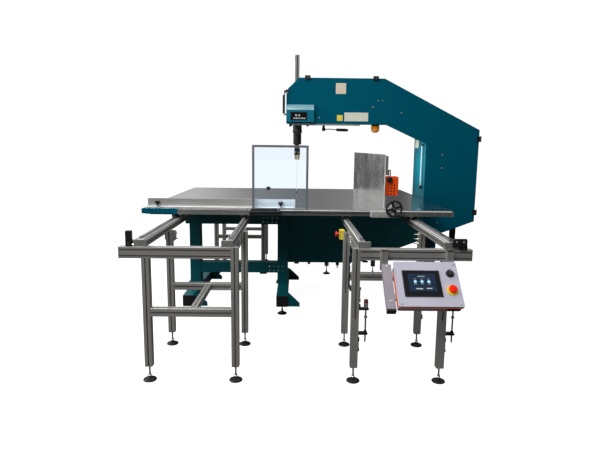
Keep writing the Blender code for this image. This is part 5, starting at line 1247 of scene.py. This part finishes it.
p = Piece("fence_handwheel_ring", "handwheel", ["black"], rep=["fence_handwheel"])
ring = []
for k in range(13):
    a = 2 * math.pi * k / 12
    ring.append((0.0592 + 0.0082 * math.cos(a), 0.0086 * math.sin(a)))
p.turn(ring, (HX, 0.822, HZ), (0, -1, 0), 56, "black")
p.turn([(0.0, -0.0155), (0.0140, -0.0155), (0.0152, -0.0130), (0.0152, 0.0070), (0.0120, 0.0098), (0.0, 0.0100)], (HX, 0.822, HZ), (0, -1, 0), 32, "black")
p.turn([(0.0, 0.0098), (0.0062, 0.0098), (0.0062, 0.0108), (0.0, 0.0108)], (HX, 0.822, HZ), (0, -1, 0), 20, "zinc")
for k in range(4):
    a = 0.3 + math.pi / 2 * k
    d = Vector((math.cos(a), 0, math.sin(a)))
    pd = Vector((-d.z, 0, d.x))
    q0, q1 = Vector((HX, 0.8225, HZ)) + d * 0.010, Vector((HX, 0.8225, HZ)) + d * 0.0555
    bm = bmesh.new()
    sec = ((-1, -1), (1, -1), (1, 1), (-1, 1))
    a_ = [bm.verts.new(q0 + pd * 0.0100 * s + Vector((0, 0.0040 * t, 0))) for s, t in sec]
    b_ = [bm.verts.new(q1 + pd * 0.0080 * s + Vector((0, 0.0034 * t, 0))) for s, t in sec]
    for i in range(4):
        bm.faces.new((a_[i], a_[(i + 1) % 4], b_[(i + 1) % 4], b_[i]))
    bm.faces.new(a_)
    bm.faces.new(list(reversed(b_)))
    bmesh.ops.recalc_face_normals(bm, faces=bm.faces)
    bmesh.ops.bevel(bm, geom=list(bm.edges), offset=0.0022, segments=2, profile=0.5, affect='EDGES', clamp_overlap=True)
    p._take(bm, "black")
p.done(angle=45)

p = Piece("fence_control_box", "rip_fence_unit", ["orange"], rep=["fence_box"])
p.box(FX1 + 0.0004, 0.8345, 1.0012, 1.0900, 1.1042, 1.2598, 0.0040, "orange", 3)
p.box(FX1 + 0.0034, 0.8315, 1.0002, 1.0014, 1.1072, 1.2568, 0.0004, "orange", 1)
p.cyl((0.7600, 1.0002, 1.2350), (0, -1, 0), 0.0100, 0.010, 20, key="zinc")
p.turn([(0.0, 0.0220), (0.0165, 0.0220), (0.0212, 0.0200), (0.0232, 0.0160), (0.0232, 0.0060), (0.0212, 0.0020), (0.0, 0.0020)], (0.7600, 1.0002, 1.2350), (0, -1, 0), 28, "black")
for i in range(3):
    for j in range(4):
        x = 0.7545 + 0.0235 * i
        z = 1.1920 - 0.0240 * j
        p.turn([(0.0, 0.0004), (0.0060, 0.0004), (0.0066, 0.0010), (0.0080, 0.0012), (0.0086, 0.0004)], (x, 1.0002, z), (0, -1, 0), 20, "orange")
        p.cyl((x, 1.0000, z), (0, -1, 0), 0.0062, 0.0007, 20, key="black")
for x, z in ((0.7320, 1.1140), (0.8240, 1.1140), (0.8240, 1.2490)):
    screw(p, x, 1.0002, z, (0, -1, 0), 0.0042, 0.0014, "zinc")
p.plate([(0.7560, 1.2595), (0.7560, 1.3060), (0.7600, 1.3140), (0.7740, 1.3140), (0.7780, 1.3060), (0.7780, 1.2595), (0.7700, 1.2595), (0.7700, 1.3030), (0.7640, 1.3030), (0.7640, 1.2595)],
        'XZ', 1.0390, 1.0510, 0.0012, "hook", None, 1)
p.done()

# ------------------------------------------------------------------ floor and backdrop
fm = bpy.data.materials.new("studio_floor")
fm.use_nodes = True
nt = fm.node_tree
b = nt.nodes["Principled BSDF"]
FV = noise(nt, coords(nt), 0.6, 2.0)
nt.links.new(mixc(nt, FV, (0.24, 0.24, 0.24), (0.25, 0.25, 0.25)), b.inputs["Base Color"])
b.inputs["Roughness"].default_value = 0.85
b.inputs["Specular IOR Level"].default_value = 0.15
lp = N(nt, "ShaderNodeLightPath")
dim = N(nt, "ShaderNodeBsdfDiffuse")
nt.links.new(mixc(nt, FV, (0.075, 0.075, 0.078), (0.085, 0.085, 0.085)), dim.inputs["Color"])
lift = N(nt, "ShaderNodeEmission")
lift.inputs["Color"].default_value = (1, 1, 1, 1)
lift.inputs["Strength"].default_value = 0.94
add = N(nt, "ShaderNodeAddShader")
nt.links.new(b.outputs[0], add.inputs[0])
nt.links.new(lift.outputs[0], add.inputs[1])
mx = N(nt, "ShaderNodeMixShader")
seen = N(nt, "ShaderNodeMath", operation="MAXIMUM")
nt.links.new(lp.outputs["Is Camera Ray"], seen.inputs[0])
nt.links.new(lp.outputs["Is Transmission Ray"], seen.inputs[1])
nt.links.new(seen.outputs[0], mx.inputs[0])
nt.links.new(dim.outputs[0], mx.inputs[1])
nt.links.new(add.outputs[0], mx.inputs[2])
nt.links.new(mx.outputs[0], nt.nodes["Material Output"].inputs["Surface"])
bm = bmesh.new()
bmesh.ops.create_grid(bm, x_segments=1, y_segments=1, size=60.0)
me = bpy.data.meshes.new("studio_floor")
bm.to_mesh(me)
bm.free()
me.materials.append(fm)
floor = bpy.data.objects.new("studio_floor", me)
floor.location = (0, 0, -0.0008)
bpy.context.scene.collection.objects.link(floor)

# ------------------------------------------------------------------ world
w = bpy.data.worlds.new("studio")
w.use_nodes = True
bpy.context.scene.world = w
nt = w.node_tree
for n in list(nt.nodes):
    nt.nodes.remove(n)
out = N(nt, "ShaderNodeOutputWorld")
tc = N(nt, "ShaderNodeTexCoord")
sep = N(nt, "ShaderNodeSeparateXYZ")
nt.links.new(tc.outputs["Generated"], sep.inputs[0])
def ramp(stops):
    r = N(nt, "ShaderNodeValToRGB")
    el = r.color_ramp.elements
    while len(el) > 1:
        el.remove(el[0])
    el[0].position, el[0].color = stops[0][0], (stops[0][1],) * 3 + (1,)
    for q, v in stops[1:]:
        e = el.new(q)
        e.color = (v, v, v, 1)
    return r


def unit(sock):
    n = N(nt, "ShaderNodeMapRange")
    n.inputs["From Min"].default_value = -1.0
    n.inputs["From Max"].default_value = 1.0
    nt.links.new(sock, n.inputs["Value"])
    return n.outputs["Result"]


# brightness over height behind the machine and towards the operator; sin(elevation) = 2 p - 1
behind = ramp([(0.0, 0.02), (0.495, 0.04), (0.512, 0.58), (0.540, 0.55), (0.570, 0.70), (0.62, 0.70), (0.80, 0.70), (1.0, 0.80)])
ahead = ramp([(0.0, 0.015), (0.50, 0.03), (0.56, 0.05), (0.66, 0.12), (0.80, 0.45), (1.0, 0.80)])
zz = unit(sep.outputs["Z"])
nt.links.new(zz, behind.inputs[0])
nt.links.new(zz, ahead.inputs[0])
# the room behind is uneven from left to right
across = N(nt, "ShaderNodeValToRGB")
el = across.color_ramp.elements
while len(el) > 1:
    el.remove(el[0])
el[0].position, el[0].color = 0.0, (0.8, 0.8, 0.8, 1)
for q, v in ((0.30, 1.2), (0.40, 1.12), (0.455, 0.56), (0.52, 0.37), (0.565, 0.50), (0.592, 0.16), (0.606, 0.20), (0.625, 0.62), (0.70, 0.80), (1.0, 0.8)):
    e = el.new(q)
    e.color = (v, v, v, 1)
nt.links.new(unit(sep.outputs["X"]), across.inputs[0])
uneven = N(nt, "ShaderNodeMix", data_type="RGBA", blend_type="MULTIPLY")
uneven.inputs[0].default_value = 1.0
nt.links.new(behind.outputs[0], uneven.inputs[6])
nt.links.new(across.outputs[0], uneven.inputs[7])
mul = N(nt, "ShaderNodeMix", data_type="RGBA")
side = N(nt, "ShaderNodeMapRange")
side.inputs["From Min"].default_value = -0.25
side.inputs["From Max"].default_value = 0.25
nt.links.new(sep.outputs["Y"], side.inputs["Value"])
nt.links.new(side.outputs["Result"], mul.inputs[0])
nt.links.new(ahead.outputs[0], mul.inputs[6])
nt.links.new(uneven.outputs[2], mul.inputs[7])
bg_l = N(nt, "ShaderNodeBackground")
nt.links.new(mul.outputs[2], bg_l.inputs["Color"])
bg_l.inputs["Strength"].default_value = 0.85
bg_c = N(nt, "ShaderNodeBackground")
bg_c.inputs["Color"].default_value = (1, 1, 1, 1)
bg_c.inputs["Strength"].default_value = 1.02
lp = N(nt, "ShaderNodeLightPath")
mx = N(nt, "ShaderNodeMixShader")
tr_ = N(nt, "ShaderNodeMath", operation="MAXIMUM")
nt.links.new(lp.outputs["Is Camera Ray"], tr_.inputs[0])
nt.links.new(lp.outputs["Is Transmission Ray"], tr_.inputs[1])
nt.links.new(tr_.outputs[0], mx.inputs[0])
nt.links.new(bg_l.outputs[0], mx.inputs[1])
nt.links.new(bg_c.outputs[0], mx.inputs[2])
nt.links.new(mx.outputs[0], out.inputs["Surface"])


# ------------------------------------------------------------------ lamps
def area(name, loc, target, sx, sy, watts, rgb=(1, 1, 1), spread=180):
    d = bpy.data.lights.new(name, 'AREA')
    d.shape = 'RECTANGLE'
    d.size, d.size_y = sx, sy
    d.energy = watts
    d.color = rgb
    d.spread = math.radians(spread)
    o = bpy.data.objects.new(name, d)
    o.location = loc
    v = Vector(target) - Vector(loc)
    o.rotation_euler = v.to_track_quat('-Z', 'Y').to_euler()
    bpy.context.scene.collection.objects.link(o)
    o.visible_camera = False
    return o


area("key_left", (-6.0, -0.6, 4.2), (0.3, 0.4, 1.0), 2.6, 2.6, 420, (1.0, 1.0, 0.99))
area("key_front", (-2.6, -5.6, 5.4), (0.2, 0.6, 1.2), 3.2, 2.4, 330, (1.0, 0.99, 0.97))
area("tube_glow", (1.02 - SX, 2.16 - SY, 1.34), (1.28 - SX, 2.16 - SY, 1.34), 0.40, 0.44, 1.5, (0.80, 0.97, 1.0), 120)
area("top_soft", (0.3, 0.6, 5.4), (0.2, 0.6, 0.9), 4.5, 4.0, 120)

bpy.context.scene.view_settings.view_transform = 'Standard'
bpy.context.scene.view_settings.look = 'None'

# ------------------------------------------------------------------ the end
bpy.context.view_layer.update()
